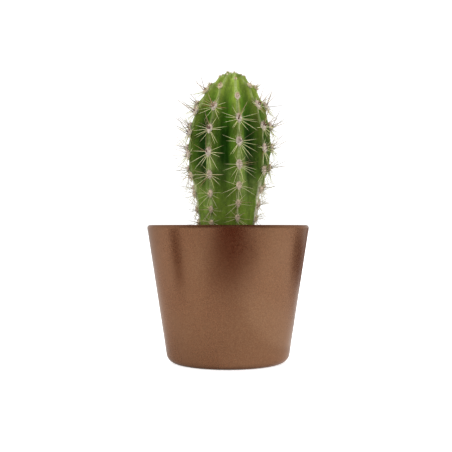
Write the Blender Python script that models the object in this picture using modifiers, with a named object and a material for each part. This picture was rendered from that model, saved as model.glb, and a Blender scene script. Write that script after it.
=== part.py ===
"""Ribbed columnar cactus standing in soil in a small tapered pot with a satin copper finish.

Three pieces, each one object: the pot, the soil plug that fills it, and the cactus, whose wool pads and
spines are joined to its ribbed stem. Metres, +Z up, origin at the centre of the pot's base. The ribs are
numbered anticlockwise seen from above, and rib 0 faces the front, -Y, turned a little towards +X.
"""

import bisect
import math
import random

import bmesh
import bpy
from mathutils import Matrix, Vector, noise

MM = 0.001
TOUCH_GAP = 0.3 * MM  # between pieces that lie against each other
MERGE = 0.01 * MM

# Pot
POT_HEIGHT = 59.0 * MM
RIM_RADIUS = 35.0 * MM
BASE_RADIUS = 26.0 * MM  # where the straight wall would meet the ground
WALL = 3.0 * MM
RIM_ROUND_OUTER = 1.3 * MM
RIM_ROUND_INNER = 1.1 * MM
BASE_ROUND = 4.0 * MM
FLOOR_TOP = 4.6 * MM
FLOOR_ROUND = 3.0 * MM
FOOT_RING_INNER = 19.0 * MM
FOOT_RECESS = 1.3 * MM
FOOT_ROUND = 0.7 * MM
POT_SIDES = 48
TAPER_DEG = math.degrees(math.atan2(RIM_RADIUS - BASE_RADIUS, POT_HEIGHT))
TAPER_COS = math.cos(math.radians(TAPER_DEG))

# Soil
SOIL_BELOW_RIM = 2.6 * MM
SOIL_MOUND = 0.8 * MM  # how much higher the soil stands against the stem
SOIL_MOUND_RING = (13.0 * MM, 26.0 * MM)  # the mound falls away between these radii
SOIL_RELIEF = 0.55 * MM
SOIL_LUMP = 4.2 * MM
SOIL_FINER = 2.3  # the second, half as high lumps are this many times smaller
SOIL_RINGS = 8
SOIL_SIDES = 40
SOIL_PLAIN_EDGE = 0.5 * MM
HOLE_SIDES = 26
HOLE_STEPS = 7
HOLE_ABOVE_RIM = 6.0 * MM
GRAIN_COUNT = 62
GRAIN_RADIUS = (0.9 * MM, 1.9 * MM)
GRAIN_RING = (14.6 * MM, 28.8 * MM)
GRAIN_TURN_DEG = 137.5  # from one grain round to the next, which keeps them apart
GRAIN_TURN_SCATTER = 0.2  # radians
GRAIN_FLATNESS = 0.75
GRAIN_UNEVENNESS = (0.85, 1.1)

# Stem: the outline of its rib crests as (radius, height above the rim) in millimetres, from the crown down
CREST_OUTLINE = [
    (0.0, 65.1), (1.4, 65.4), (2.7, 65.3), (4.3, 64.2), (6.3, 62.4), (9.1, 59.6), (12.0, 55.8),
    (15.1, 49.6), (17.5, 40.5), (18.1, 32.0), (17.4, 24.6), (15.9, 19.0), (13.8, 10.8), (12.3, 3.0),
    (11.3, -3.0), (9.9, -9.0), (6.2, -13.6), (0.0, -15.0),
]
OUTLINE_STEPS = 40  # between two of those points
# Sideways bend of the stem's axis as (height above the rim, shift to +X) in millimetres
STEM_BEND = [(-15.0, -0.3), (0.0, -0.3), (20.0, 0.0), (35.0, 0.3), (50.0, 0.8), (60.0, 1.3), (66.0, 2.0)]
RIB_COUNT = 9
FIRST_RIB_DEG = 13.4
RIB_FAN_DEG = 12.0  # near the soil the ribs spread away from the front, up to this height above the rim
RIB_FAN_HEIGHT = 26.0 * MM
CROWN_DRAW_DEG = 7.0  # near the crown they draw towards the front, over this belt above the rim
CROWN_DRAW_BELT = (38.0 * MM, 56.0 * MM)
GROOVE_DEPTH = 4.6 * MM
GROOVE_SHARPNESS = 1.25
GROOVE_AT_CROWN = 0.16  # shares of the full depth
GROOVE_AT_SOIL = 0.06
GROOVE_CROWN_BELT = (2.0 * MM, 32.0 * MM)  # they deepen over this distance from the crown
GROOVE_SOIL_BELT = (3.0 * MM, 28.0 * MM)  # above the rim
CROWN_EYE = 3.0 * MM  # the grooves end this far from the middle of the crown
ROOF_AT_CROWN = 0.9  # from 0 for round ribs to 1 for ribs with two flat sides and a sharp crest
ROOF_BELOW = 0.3
ROOF_BELT = (12.0 * MM, 36.0 * MM)  # the ribs grow round over this distance from the crown
STEM_COLUMNS_PER_RIB = 6
STEM_ROWS = 28
CROWN_FINER = 1.4  # over 1, the rows lie closer at the crown than down the stem

# Areoles: the wool pads that the spines grow from, one above the other on the swellings of each rib
FIRST_AREOLE_HEIGHT = [3.0, 2.5, 4.2, 1.7, 3.5, 0.8, 2.9, 1.1, 0.9]  # millimetres above the rim, rib by rib
RIB_SPACING = [0.98, 0.94, 0.9, 0.95, 0.97, 0.93, 0.96, 0.94, 0.97]  # against the spacings below
SPACING_AT_SOIL = 5.3 * MM
SPACING_GROWTH = 0.19  # for each length further up the rib
SPACING_FULL = 9.6 * MM
SPACING_FULL_FROM = 23.0 * MM
SPACING_SLOW_GROWTH = 0.02
CROWN_CROWDING = 0.6
CROWN_LEAST_SPACING = 0.3 * MM
AREOLE_NEAREST_CROWN = 2.4 * MM
SWELLING_RISE = 0.55 * MM
SWELLING_REACH = 2.6 * MM
SWELLING_CROWN_BELT = (-4.0 * MM, 12.0 * MM)  # it narrows over this distance from the crown
KNOB_RISE = 0.35 * MM  # young swellings stand out this much more
KNOB_GROWS = (1.0 * MM, 10.0 * MM)  # from the crown
KNOB_FADES = (14.0 * MM, 28.0 * MM)
PAD_SIZE = (1.2 * MM, 1.75 * MM, 1.0 * MM)  # half width, half length along the rib, half thickness
NEW_PAD_SHARE = 0.55
PAD_GROWN_FROM_CROWN = 16.0 * MM

# Spines: only the largest of each areole, with directions from straight up the rib, clockwise
RADIAL_SPINES_DEG = [-94.0, -142.0, 142.0, 94.0]
YOUNG_SPINES_DEG = [-100.0, 100.0]
YOUNG_BELOW_CROWN = 9.0 * MM
BARE_BELOW_CROWN = 4.5 * MM  # the newest pads have no spines yet
RADIAL_LEAN_DEG = 66.0  # from straight out
CENTRAL_LEAN_DEG = 24.0
CENTRAL_CLOCK_DEG = 30.0
UPRIGHT_BELT = (47.0 * MM, 58.0 * MM)  # above the rim: over this belt the spines come to lean less
UPRIGHT_SHARE = 0.6
CLOCK_SCATTER_DEG = 7.0
LEAN_SCATTER_DEG = 6.0
LENGTH_SCATTER = (0.86, 1.1)
SPINE_LENGTH = 8.2 * MM
SHORT_AT_SOIL = 0.58  # shares of that length
SHORT_AT_CROWN = 0.26
LONG_FROM_SOIL_BELT = (4.0 * MM, 26.0 * MM)  # above the rim
SHORT_CROWN_BELT = (52.0 * MM, 64.0 * MM)
SPINE_BASE_RADIUS = 0.24 * MM
SPINE_ROOT = 0.2 * MM  # below the crest, so well below the top of the pad
SPINE_SPREAD = 0.35  # of the pad's half sizes, how far from its middle the outer spines are rooted
SPINE_CLEAR_OF_SOIL = 1.4 * MM
SEED = 11


def clear_scene():
    """Removes every object of the open file."""
    for old in list(bpy.data.objects):
        bpy.data.objects.remove(old)


def new_collection(name):
    made = bpy.data.collections.new(name)
    bpy.context.scene.collection.children.link(made)
    return made


def new_material(name, colour, roughness, metallic=0.0):
    made = bpy.data.materials.new(name)
    made.use_nodes = True
    shader = made.node_tree.nodes["Principled BSDF"]
    shader.inputs["Base Color"].default_value = (*colour, 1.0)
    shader.inputs["Roughness"].default_value = roughness
    shader.inputs["Metallic"].default_value = metallic
    return made


def new_object(name, mesh, collection):
    made = bpy.data.objects.new(name, mesh)
    collection.objects.link(made)
    return made


def object_from(shape, name, collection):
    """Turns a finished bmesh into an object."""
    mesh = bpy.data.meshes.new(name)
    shape.to_mesh(mesh)
    shape.free()
    return new_object(name, mesh, collection)


def apply_modifiers(obj):
    """Replaces the object's mesh by the one that its modifiers make."""
    graph = bpy.context.evaluated_depsgraph_get()
    finished = bpy.data.meshes.new_from_object(obj.evaluated_get(graph))
    obj.modifiers.clear()
    obj.data = finished


def fuse(target, helpers):
    """Joins a helper collection's objects to the target, then removes them and the collection."""
    boolean = target.modifiers.new("fuse", "BOOLEAN")
    boolean.operation = "UNION"
    boolean.operand_type = "COLLECTION"
    boolean.collection = helpers
    boolean.solver = "MANIFOLD"
    apply_modifiers(target)
    for helper in list(helpers.objects):
        bpy.data.objects.remove(helper)
    bpy.data.collections.remove(helpers)


def turned(name, profile, sides, collection):
    """A solid turned about Z from a profile at +X that runs down its outer side."""
    mesh = bpy.data.meshes.new(name)
    edges = [(i, i + 1) for i in range(len(profile) - 1)]
    mesh.from_pydata([(r, 0.0, z) for r, z in profile], edges, [])
    made = new_object(name, mesh, collection)
    screw = made.modifiers.new("turn", "SCREW")
    screw.steps = sides
    screw.render_steps = sides
    screw.use_merge_vertices = True
    screw.merge_threshold = MERGE
    screw.use_smooth_shade = True
    apply_modifiers(made)
    return made


def arc(centre_r, centre_z, radius, start_deg, end_deg, steps):
    """Points of an arc in the (radius, height) plane."""
    turns = [math.radians(start_deg + (end_deg - start_deg) * k / steps) for k in range(steps + 1)]
    return [(centre_r + radius * math.cos(t), centre_z + radius * math.sin(t)) for t in turns]


def along(points, place):
    """Reads a list of (place, value) pairs, joined by straight lines, at a place."""
    for (x0, y0), (x1, y1) in zip(points, points[1:]):
        if place <= x1:
            return y0 + (y1 - y0) * max(0.0, place - x0) / (x1 - x0)
    return points[-1][1]


def smooth_step(low, high, value):
    t = min(1.0, max(0.0, (value - low) / (high - low)))
    return t * t * (3.0 - 2.0 * t)


def wall_line(height, depth=0.0):
    """Radius of the pot's straight outer wall at a height, or of a line that lies a depth inside it."""
    outer = BASE_RADIUS + (RIM_RADIUS - BASE_RADIUS) * height / POT_HEIGHT
    return outer - depth / TAPER_COS


def pot_profile():
    """The pot's section, from the middle of its floor over the rim to the middle of its underside."""
    floor_z = FLOOR_TOP + FLOOR_ROUND
    rim_inner_z = POT_HEIGHT - RIM_ROUND_INNER
    rim_outer_z = POT_HEIGHT - RIM_ROUND_OUTER
    floor_r = wall_line(floor_z, WALL + FLOOR_ROUND)
    rim_inner_r = wall_line(rim_inner_z, WALL - RIM_ROUND_INNER)
    rim_outer_r = wall_line(rim_outer_z, RIM_ROUND_OUTER)
    base_r = wall_line(BASE_ROUND, BASE_ROUND)
    return [
        (0.0, FLOOR_TOP),
        *arc(floor_r, floor_z, FLOOR_ROUND, -90.0, -TAPER_DEG, 3),
        *arc(rim_inner_r, rim_inner_z, RIM_ROUND_INNER, 180.0 - TAPER_DEG, 90.0, 3),
        *arc(rim_outer_r, rim_outer_z, RIM_ROUND_OUTER, 90.0, -TAPER_DEG, 4),
        *arc(base_r, BASE_ROUND, BASE_ROUND, -TAPER_DEG, -90.0, 5),
        *arc(FOOT_RING_INNER + FOOT_ROUND, FOOT_ROUND, FOOT_ROUND, 270.0, 180.0, 2),
        (FOOT_RING_INNER, FOOT_RECESS),
        (0.0, FOOT_RECESS),
    ]


def soil_level(radius):
    """Mean height of the soil, which stands a little higher against the stem."""
    return POT_HEIGHT - SOIL_BELOW_RIM + SOIL_MOUND * (1.0 - smooth_step(*SOIL_MOUND_RING, radius))


def soil_edge():
    """Radius at which the soil's top meets the pot's wall, less the gap."""
    return wall_line(POT_HEIGHT - SOIL_BELOW_RIM, WALL + TOUCH_GAP)


def soil_profile():
    """The soil's section: its top from the axis outwards, then down the pot's wall and in along its floor."""
    floor_z = FLOOR_TOP + FLOOR_ROUND
    floor_r = wall_line(floor_z, WALL + FLOOR_ROUND)
    radii = [soil_edge() * k / SOIL_RINGS for k in range(SOIL_RINGS + 1)]
    return [
        *[(radius, soil_level(radius)) for radius in radii],
        *arc(floor_r, floor_z, FLOOR_ROUND - TOUCH_GAP, -TAPER_DEG, -90.0, 3),
        (0.0, FLOOR_TOP + TOUCH_GAP),
    ]


def through_points(p0, p1, p2, p3, t):
    """A point at t from 0 to 1 between p1 and p2 on a smooth curve that passes through all such points."""
    return tuple(
        0.5 * (2 * b + (c - a) * t + (2 * a - 5 * b + 4 * c - d) * t**2 + (3 * b - a - 3 * c + d) * t**3)
        for a, b, c, d in zip(p0, p1, p2, p3)
    )


class Stem:
    """The stem's form: its crest outline, ribs, grooves and the places of its areoles.

    A place on the skin is a rib, a share of the way from its crest to the next rib's, and a distance from
    the middle of the crown down the crest.
    """

    def __init__(self):
        self.samples = self.smooth_outline()
        self.distances = [0.0]
        for (r0, z0), (r1, z1) in zip(self.samples, self.samples[1:]):
            self.distances.append(self.distances[-1] + math.hypot(r1 - r0, z1 - z0))
        self.total = self.distances[-1]
        self.soil_at = self.distance_at_height(POT_HEIGHT - SOIL_BELOW_RIM)
        self.areoles = [self.areole_distances(rib) for rib in range(RIB_COUNT)]

    @staticmethod
    def smooth_outline():
        """The crest outline as a smooth curve through its points, in metres above the pot's base."""
        points = [(r * MM, POT_HEIGHT + z * MM) for r, z in CREST_OUTLINE]
        before = (-points[1][0], points[1][1])
        after = (-points[-2][0], points[-2][1])
        guides = [before, *points, after]
        smooth = []
        for four in zip(guides, guides[1:], guides[2:], guides[3:]):
            smooth += [through_points(*four, k / OUTLINE_STEPS) for k in range(OUTLINE_STEPS)]
        return [*smooth, points[-1]]

    def outline(self, distance):
        """(radius, height, outward normal) of the crest outline at a distance from the crown."""
        distance = min(max(distance, 0.0), self.total)
        high = min(bisect.bisect_right(self.distances, distance), len(self.distances) - 1)
        (r0, z0), (r1, z1) = self.samples[high - 1], self.samples[high]
        t = (distance - self.distances[high - 1]) / (self.distances[high] - self.distances[high - 1])
        normal = Vector((z0 - z1, r1 - r0)).normalized()
        return max(0.0, r0 + (r1 - r0) * t), z0 + (z1 - z0) * t, normal

    def distance_at_height(self, height):
        """Distance from the crown to where the outline comes down to a height below its widest point."""
        widest = max(range(len(self.samples)), key=lambda k: self.samples[k][0])
        below = next(k for k in range(widest, len(self.samples)) if self.samples[k][1] <= height)
        return self.distances[below]

    def rib_angle(self, rib, height):
        """Direction of a rib's crest, in radians from the front towards +X."""
        angle = math.radians(FIRST_RIB_DEG + rib * 360.0 / RIB_COUNT)
        above_rim = height - POT_HEIGHT
        fan_deg = RIB_FAN_DEG * (1.0 - smooth_step(0.0, RIB_FAN_HEIGHT, above_rim))
        fan_deg -= CROWN_DRAW_DEG * smooth_step(*CROWN_DRAW_BELT, above_rim)
        return angle + math.radians(fan_deg) * math.sin(angle)

    def groove_depth(self, distance, height):
        """Depth of the grooves between the ribs: shallow at the crown, and next to none in the soil."""
        crown = smooth_step(*GROOVE_CROWN_BELT, distance)
        soil = smooth_step(*GROOVE_SOIL_BELT, height - POT_HEIGHT)
        depth = GROOVE_DEPTH * smooth_step(0.0, CROWN_EYE, distance)
        depth *= GROOVE_AT_CROWN + (1.0 - GROOVE_AT_CROWN) * crown
        return depth * (GROOVE_AT_SOIL + (1.0 - GROOVE_AT_SOIL) * soil)

    def areole_distances(self, rib):
        """Distances from the crown of one rib's areoles, from the soil upwards."""
        distance = self.distance_at_height(POT_HEIGHT + FIRST_AREOLE_HEIGHT[rib] * MM)
        found = []
        while distance > AREOLE_NEAREST_CROWN:
            found.append(distance)
            grown = self.soil_at - distance
            spacing = min(
                SPACING_AT_SOIL + SPACING_GROWTH * grown,
                SPACING_FULL + SPACING_SLOW_GROWTH * (grown - SPACING_FULL_FROM),
                CROWN_CROWDING * distance + CROWN_LEAST_SPACING,
            )
            distance -= spacing * RIB_SPACING[rib]
        return found

    def swelling(self, rib, distance, sideways):
        """Height of the low swelling round the nearest areole of a rib."""
        near = min(abs(distance - place) for place in self.areoles[rib])
        reach = SWELLING_REACH * smooth_step(*SWELLING_CROWN_BELT, distance)
        knob = smooth_step(*KNOB_GROWS, distance) * (1.0 - smooth_step(*KNOB_FADES, distance))
        height = SWELLING_RISE + KNOB_RISE * knob
        return height * math.exp(-((near / reach) ** 2) - (sideways / reach) ** 2)

    @staticmethod
    def crest_share(share, distance):
        """Height of the skin across a rib, from 0 in the groove to 1 on the crest."""
        rounded = abs(math.cos(math.pi * share)) ** GROOVE_SHARPNESS
        roof = 1.0 - abs(math.sin(math.pi * share))
        sharp = ROOF_AT_CROWN - (ROOF_AT_CROWN - ROOF_BELOW) * smooth_step(*ROOF_BELT, distance)
        return rounded + (roof - rounded) * sharp

    def point(self, rib, share, distance):
        """A point of the skin."""
        radius, height, normal = self.outline(distance)
        here = self.rib_angle(rib, height)
        beyond = self.rib_angle(rib + 1, height)
        angle = here + (beyond - here) * share
        nearest, nearest_angle = (rib, here) if share <= 0.5 else (rib + 1, beyond)
        rise = self.swelling(nearest % RIB_COUNT, distance, radius * abs(angle - nearest_angle))
        rise -= self.groove_depth(distance, height) * (1.0 - self.crest_share(share, distance))
        radius += rise * normal.x
        height += rise * normal.y
        bend = along(STEM_BEND, (height - POT_HEIGHT) / MM) * MM
        return Vector((radius * math.sin(angle) + bend, -radius * math.cos(angle), height))

    def areole_frame(self, rib, distance):
        """Place and axes of an areole as a matrix: sideways, up the rib and straight out."""
        place = self.point(rib, 0.0, distance)
        up = (self.point(rib, 0.0, distance - SWELLING_RISE) - place).normalized()
        angle = self.rib_angle(rib, place.z)
        sideways = Vector((math.cos(angle), math.sin(angle), 0.0))
        out = sideways.cross(up).normalized()
        return Matrix.Translation(place) @ Matrix((sideways, up, out)).transposed().to_4x4()


def make_stem_body(stem, collection):
    """The ribbed stem: a sphere's rows and columns moved onto the skin."""
    columns = RIB_COUNT * STEM_COLUMNS_PER_RIB
    shape = bmesh.new()
    bmesh.ops.create_uvsphere(shape, u_segments=columns, v_segments=STEM_ROWS, radius=1.0)
    for vertex in shape.verts:
        row = math.acos(max(-1.0, min(1.0, vertex.co.z))) / math.pi
        column = round(math.atan2(-vertex.co.x, vertex.co.y) / (2.0 * math.pi) * columns) % columns
        rib, step = divmod(column, STEM_COLUMNS_PER_RIB)
        vertex.co = stem.point(rib, step / STEM_COLUMNS_PER_RIB, stem.total * row**CROWN_FINER)
    body = object_from(shape, "cactus", collection)
    body.data.shade_smooth()
    return body


def add_pad(areole, size, collection):
    """One wool pad, an oval dome half sunk in the crest of its rib."""
    shape = bmesh.new()
    bmesh.ops.create_icosphere(shape, subdivisions=1, radius=1.0)
    bmesh.ops.transform(shape, matrix=areole @ Matrix.Diagonal((*size, 1.0)), verts=shape.verts)
    object_from(shape, "pad", collection)


def add_spine(root, direction, length, collection):
    """One spine, a three-sided needle from its root inside the pad to its tip."""
    shape = bmesh.new()
    bmesh.ops.create_cone(
        shape, cap_ends=True, segments=3, radius1=SPINE_BASE_RADIUS, radius2=0.0, depth=length
    )
    turn = direction.to_track_quat("Z", "Y").to_matrix().to_4x4()
    place = Matrix.Translation(root + direction * length * 0.5) @ turn
    bmesh.ops.transform(shape, matrix=place, verts=shape.verts)
    object_from(shape, "spine", collection)


def spine_length(above_rim):
    """Spines are longest at mid height, and shorter near the soil and at the crown."""
    soil = smooth_step(*LONG_FROM_SOIL_BELT, above_rim)
    crown = smooth_step(*SHORT_CROWN_BELT, above_rim)
    share = SHORT_AT_SOIL + (1.0 - SHORT_AT_SOIL) * soil
    return SPINE_LENGTH * share * (1.0 - (1.0 - SHORT_AT_CROWN) * crown)


def spine_direction(areole, clock, lean):
    """Unit vector that leans from straight out towards a clock direction on the skin, in radians."""
    across = math.sin(lean)
    local = Vector((across * math.sin(clock), across * math.cos(clock), math.cos(lean)))
    return (areole.to_3x3() @ local).normalized()


def clear_of_soil(root, direction, length):
    """The direction, raised where the spine's tip would come too near the soil."""
    lowest = POT_HEIGHT - SOIL_BELOW_RIM + SOIL_MOUND + SPINE_CLEAR_OF_SOIL
    tip = root + direction * length
    tip.z = max(tip.z, lowest)
    return (tip - root).normalized()


def add_areole(stem, rib, distance, draw, collection):
    """The wool pad of one areole and its largest spines."""
    areole = stem.areole_frame(rib, distance)
    grown = smooth_step(0.0, PAD_GROWN_FROM_CROWN, distance)
    size = [half * (NEW_PAD_SHARE + (1.0 - NEW_PAD_SHARE) * grown) for half in PAD_SIZE]
    add_pad(areole, size, collection)
    if distance < BARE_BELOW_CROWN:
        return
    above_rim = areole.translation.z - POT_HEIGHT
    lean_here = RADIAL_LEAN_DEG * (1.0 - UPRIGHT_SHARE * smooth_step(*UPRIGHT_BELT, above_rim))
    clocks = YOUNG_SPINES_DEG if distance < YOUNG_BELOW_CROWN else RADIAL_SPINES_DEG
    aims = [(clock, lean_here) for clock in clocks]
    aims.append((draw.uniform(-CENTRAL_CLOCK_DEG, CENTRAL_CLOCK_DEG), CENTRAL_LEAN_DEG))
    for clock_deg, lean_deg in aims:
        clock = math.radians(clock_deg + draw.uniform(-CLOCK_SCATTER_DEG, CLOCK_SCATTER_DEG))
        lean = math.radians(lean_deg + draw.uniform(-LEAN_SCATTER_DEG, LEAN_SCATTER_DEG))
        length = spine_length(above_rim) * draw.uniform(*LENGTH_SCATTER)
        spread = SPINE_SPREAD * lean_deg / RADIAL_LEAN_DEG
        side, up = size[0] * spread * math.sin(clock), size[1] * spread * math.cos(clock)
        root = areole @ Vector((side, up, -SPINE_ROOT))
        direction = clear_of_soil(root, spine_direction(areole, clock, lean), length)
        add_spine(root, direction, length + SPINE_ROOT, collection)


def make_cactus(stem, collection):
    """The stem with the pads and spines of all its areoles, as one body."""
    draw = random.Random(SEED)
    body = make_stem_body(stem, collection)
    helpers = new_collection("areole_pieces")
    for rib in range(RIB_COUNT):
        for distance in stem.areoles[rib]:
            add_areole(stem, rib, distance, draw, helpers)
    fuse(body, helpers)
    return body


def cut_planting_hole(soil, stem, cutters):
    """Cuts the plain round hole that the buried foot of the stem stands in."""
    top = POT_HEIGHT + HOLE_ABOVE_RIM
    start = stem.distance_at_height(top)
    profile = [(0.0, top)]
    for k in range(HOLE_STEPS):
        radius, height, normal = stem.outline(start + (stem.total - start) * k / HOLE_STEPS)
        profile.append((radius + TOUCH_GAP * normal.x, height + TOUCH_GAP * normal.y))
    profile.append((0.0, stem.samples[-1][1] - TOUCH_GAP))
    cutter = turned("planting_hole", profile, HOLE_SIDES, cutters)
    cutter.location.x = along(STEM_BEND, 0.0) * MM
    cutter.hide_render = True
    cutter.display_type = "WIRE"
    boolean = soil.modifiers.new("planting hole", "BOOLEAN")
    boolean.operation = "DIFFERENCE"
    boolean.object = cutter
    boolean.solver = "EXACT"


def grain_places():
    """(size, place) of the coarse grains, in a spiral of equal shares of the soil, clear of stem and wall."""
    draw = random.Random(SEED)
    inner, outer = GRAIN_RING
    found = []
    for number in range(GRAIN_COUNT):
        size = draw.uniform(*GRAIN_RADIUS)
        share = (number + draw.random()) / GRAIN_COUNT
        radius = math.sqrt(inner**2 + (outer**2 - inner**2) * share)
        angle = number * math.radians(GRAIN_TURN_DEG) + draw.uniform(-GRAIN_TURN_SCATTER, GRAIN_TURN_SCATTER)
        place = Vector((radius * math.cos(angle), radius * math.sin(angle), soil_level(radius)))
        found.append((size, place))
    return found


def add_grain(size, place, draw, collection):
    """One coarse grain that lies half sunk in the soil."""
    shape = bmesh.new()
    bmesh.ops.create_icosphere(shape, subdivisions=1, radius=size)
    for vertex in shape.verts:
        vertex.co *= draw.uniform(*GRAIN_UNEVENNESS)
        vertex.co.z *= GRAIN_FLATNESS
        vertex.co += place
    object_from(shape, "grain", collection)


def make_soil(stem, collection, cutters):
    """The soil plug, with a crumbly top, coarse grains and the stem's hole."""
    draw = random.Random(SEED)
    soil = turned("soil", soil_profile(), SOIL_SIDES, collection)
    for vertex in soil.data.vertices:
        radius = math.hypot(vertex.co.x, vertex.co.y)
        on_top = vertex.co.z > soil_level(radius) - MERGE
        if on_top and radius < soil_edge() - SOIL_PLAIN_EDGE:
            place = Vector((vertex.co.x, vertex.co.y, 0.0)) / SOIL_LUMP
            vertex.co.z += SOIL_RELIEF * (noise.noise(place) + 0.5 * noise.noise(place * SOIL_FINER))
    helpers = new_collection("soil_grains")
    for size, place in grain_places():
        add_grain(size, place, draw, helpers)
    fuse(soil, helpers)
    cut_planting_hole(soil, stem, cutters)
    return soil


def main():
    clear_scene()
    parts = new_collection("potted_cactus")
    cutters = new_collection("cutters")
    stem = Stem()
    pot = turned("pot", pot_profile(), POT_SIDES, parts)
    soil = make_soil(stem, parts, cutters)
    cactus = make_cactus(stem, parts)
    pot.data.materials.append(new_material("satin_copper", (0.24, 0.125, 0.07), 0.42, 0.6))
    soil.data.materials.append(new_material("potting_soil", (0.055, 0.035, 0.022), 0.95))
    cactus.data.materials.append(new_material("cactus_skin", (0.08, 0.17, 0.025), 0.5))


main()
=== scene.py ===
"""Looks of the potted cactus: satin copper pot, potting soil, ribbed stem, wool pads and spines.

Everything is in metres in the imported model's frame: +Z up, the front faces -Y, +X is to its right. The
fine pieces stand in for the three solids of the model and keep their form.
"""

import logging
import math
import random
from collections.abc import Callable, Iterable, Sequence
from dataclasses import dataclass, field
from enum import Enum

import bmesh
import bpy
import numpy as np
from mathutils import Matrix, Vector, noise


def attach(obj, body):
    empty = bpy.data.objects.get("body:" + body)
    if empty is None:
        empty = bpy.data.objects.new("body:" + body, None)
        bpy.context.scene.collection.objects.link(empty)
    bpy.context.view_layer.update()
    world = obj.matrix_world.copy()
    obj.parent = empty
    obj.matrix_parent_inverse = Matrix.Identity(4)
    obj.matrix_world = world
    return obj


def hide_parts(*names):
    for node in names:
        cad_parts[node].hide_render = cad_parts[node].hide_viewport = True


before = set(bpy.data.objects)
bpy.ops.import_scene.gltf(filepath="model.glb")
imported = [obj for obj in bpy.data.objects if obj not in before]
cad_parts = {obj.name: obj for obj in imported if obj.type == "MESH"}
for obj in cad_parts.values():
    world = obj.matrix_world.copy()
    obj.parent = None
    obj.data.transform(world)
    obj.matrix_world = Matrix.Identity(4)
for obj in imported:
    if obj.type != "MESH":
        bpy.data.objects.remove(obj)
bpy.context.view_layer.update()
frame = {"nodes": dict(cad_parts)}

LOG = logging.getLogger("potted_cactus")
MM = 0.001
SEED = 11
NEAR = 0.05 * MM  # a vertex this close to a line or plane counts as on it
FULL_TURN = 2.0 * math.pi
ANY_TURN = 6.3  # radians, a little over a full turn
BODY = "root"

Colour = tuple[float, float, float]
Belt = tuple[float, ...]  # two bounds, and perhaps what they become
Socket = bpy.types.NodeSocket
Material = bpy.types.Material
Piece = bpy.types.Object


def smooth_step(low: float, high: float, value: float | np.ndarray) -> np.ndarray:
    """A step from 0 at low to 1 at high, without a kink at either end, for a number or an array."""
    share = np.clip((value - low) / (high - low), 0.0, 1.0)
    return share * share * (3.0 - 2.0 * share)


def deselect() -> None:
    """Leaves no object selected or active."""
    bpy.ops.object.select_all(action="DESELECT")
    bpy.context.view_layer.objects.active = None


def activate(obj: Piece) -> None:
    """Makes one object the only selected and active one.

    Args:
        obj: the object.
    """
    deselect()
    obj.select_set(True)
    bpy.context.view_layer.objects.active = obj


def select_where(kind: str, test: Callable[[bmesh.types.BMVert], bool]) -> None:
    """In edit mode, selects the faces or edges whose corners all pass a test.

    Args:
        kind: FACE or EDGE.
        test: takes a vertex and says whether it counts.
    """
    shape = bmesh.from_edit_mesh(bpy.context.object.data)
    bpy.ops.mesh.select_mode(type=kind)
    bpy.ops.mesh.select_all(action="DESELECT")
    for element in shape.faces if kind == "FACE" else shape.edges:
        element.select_set(all(test(vertex) for vertex in element.verts))
    shape.select_flush_mode()
    bmesh.update_edit_mesh(bpy.context.object.data)


def settle(obj: Piece) -> None:
    """Moves an object's place, turn and scale into its mesh."""
    activate(obj)
    bpy.ops.object.transform_apply(location=True, rotation=True, scale=True)


def begin(operator: Callable[..., set[str]], name: str = "", **settings: object) -> Piece:
    """Adds a primitive for a piece to be shaped from.

    Args:
        operator: adds the primitive.
        name: the object's name, if it keeps one.
        settings: the operator's settings.

    Returns:
        The new object, with its place in its mesh.
    """
    deselect()
    operator(**settings)
    made = bpy.context.object
    made.name = name or made.name
    settle(made)
    return made


class Slot(Enum):
    """Material slot names for the copper, the soil and the skin."""

    COPPER = "satin_copper"
    SOIL = "potting_soil"
    SKIN = "cactus_skin"


def publish(piece: Piece, replaced: Iterable[str] = ()) -> None:
    """Fastens a finished piece to the model and reports it.

    Args:
        piece: the finished mesh object.
        replaced: the model's nodes that it stands for.
    """
    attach(piece, BODY)
    for node in replaced:
        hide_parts(node)
    triangles = sum(len(face.vertices) - 2 for face in piece.data.polygons)
    LOG.info("%s: %d triangles", piece.name, triangles)


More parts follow.
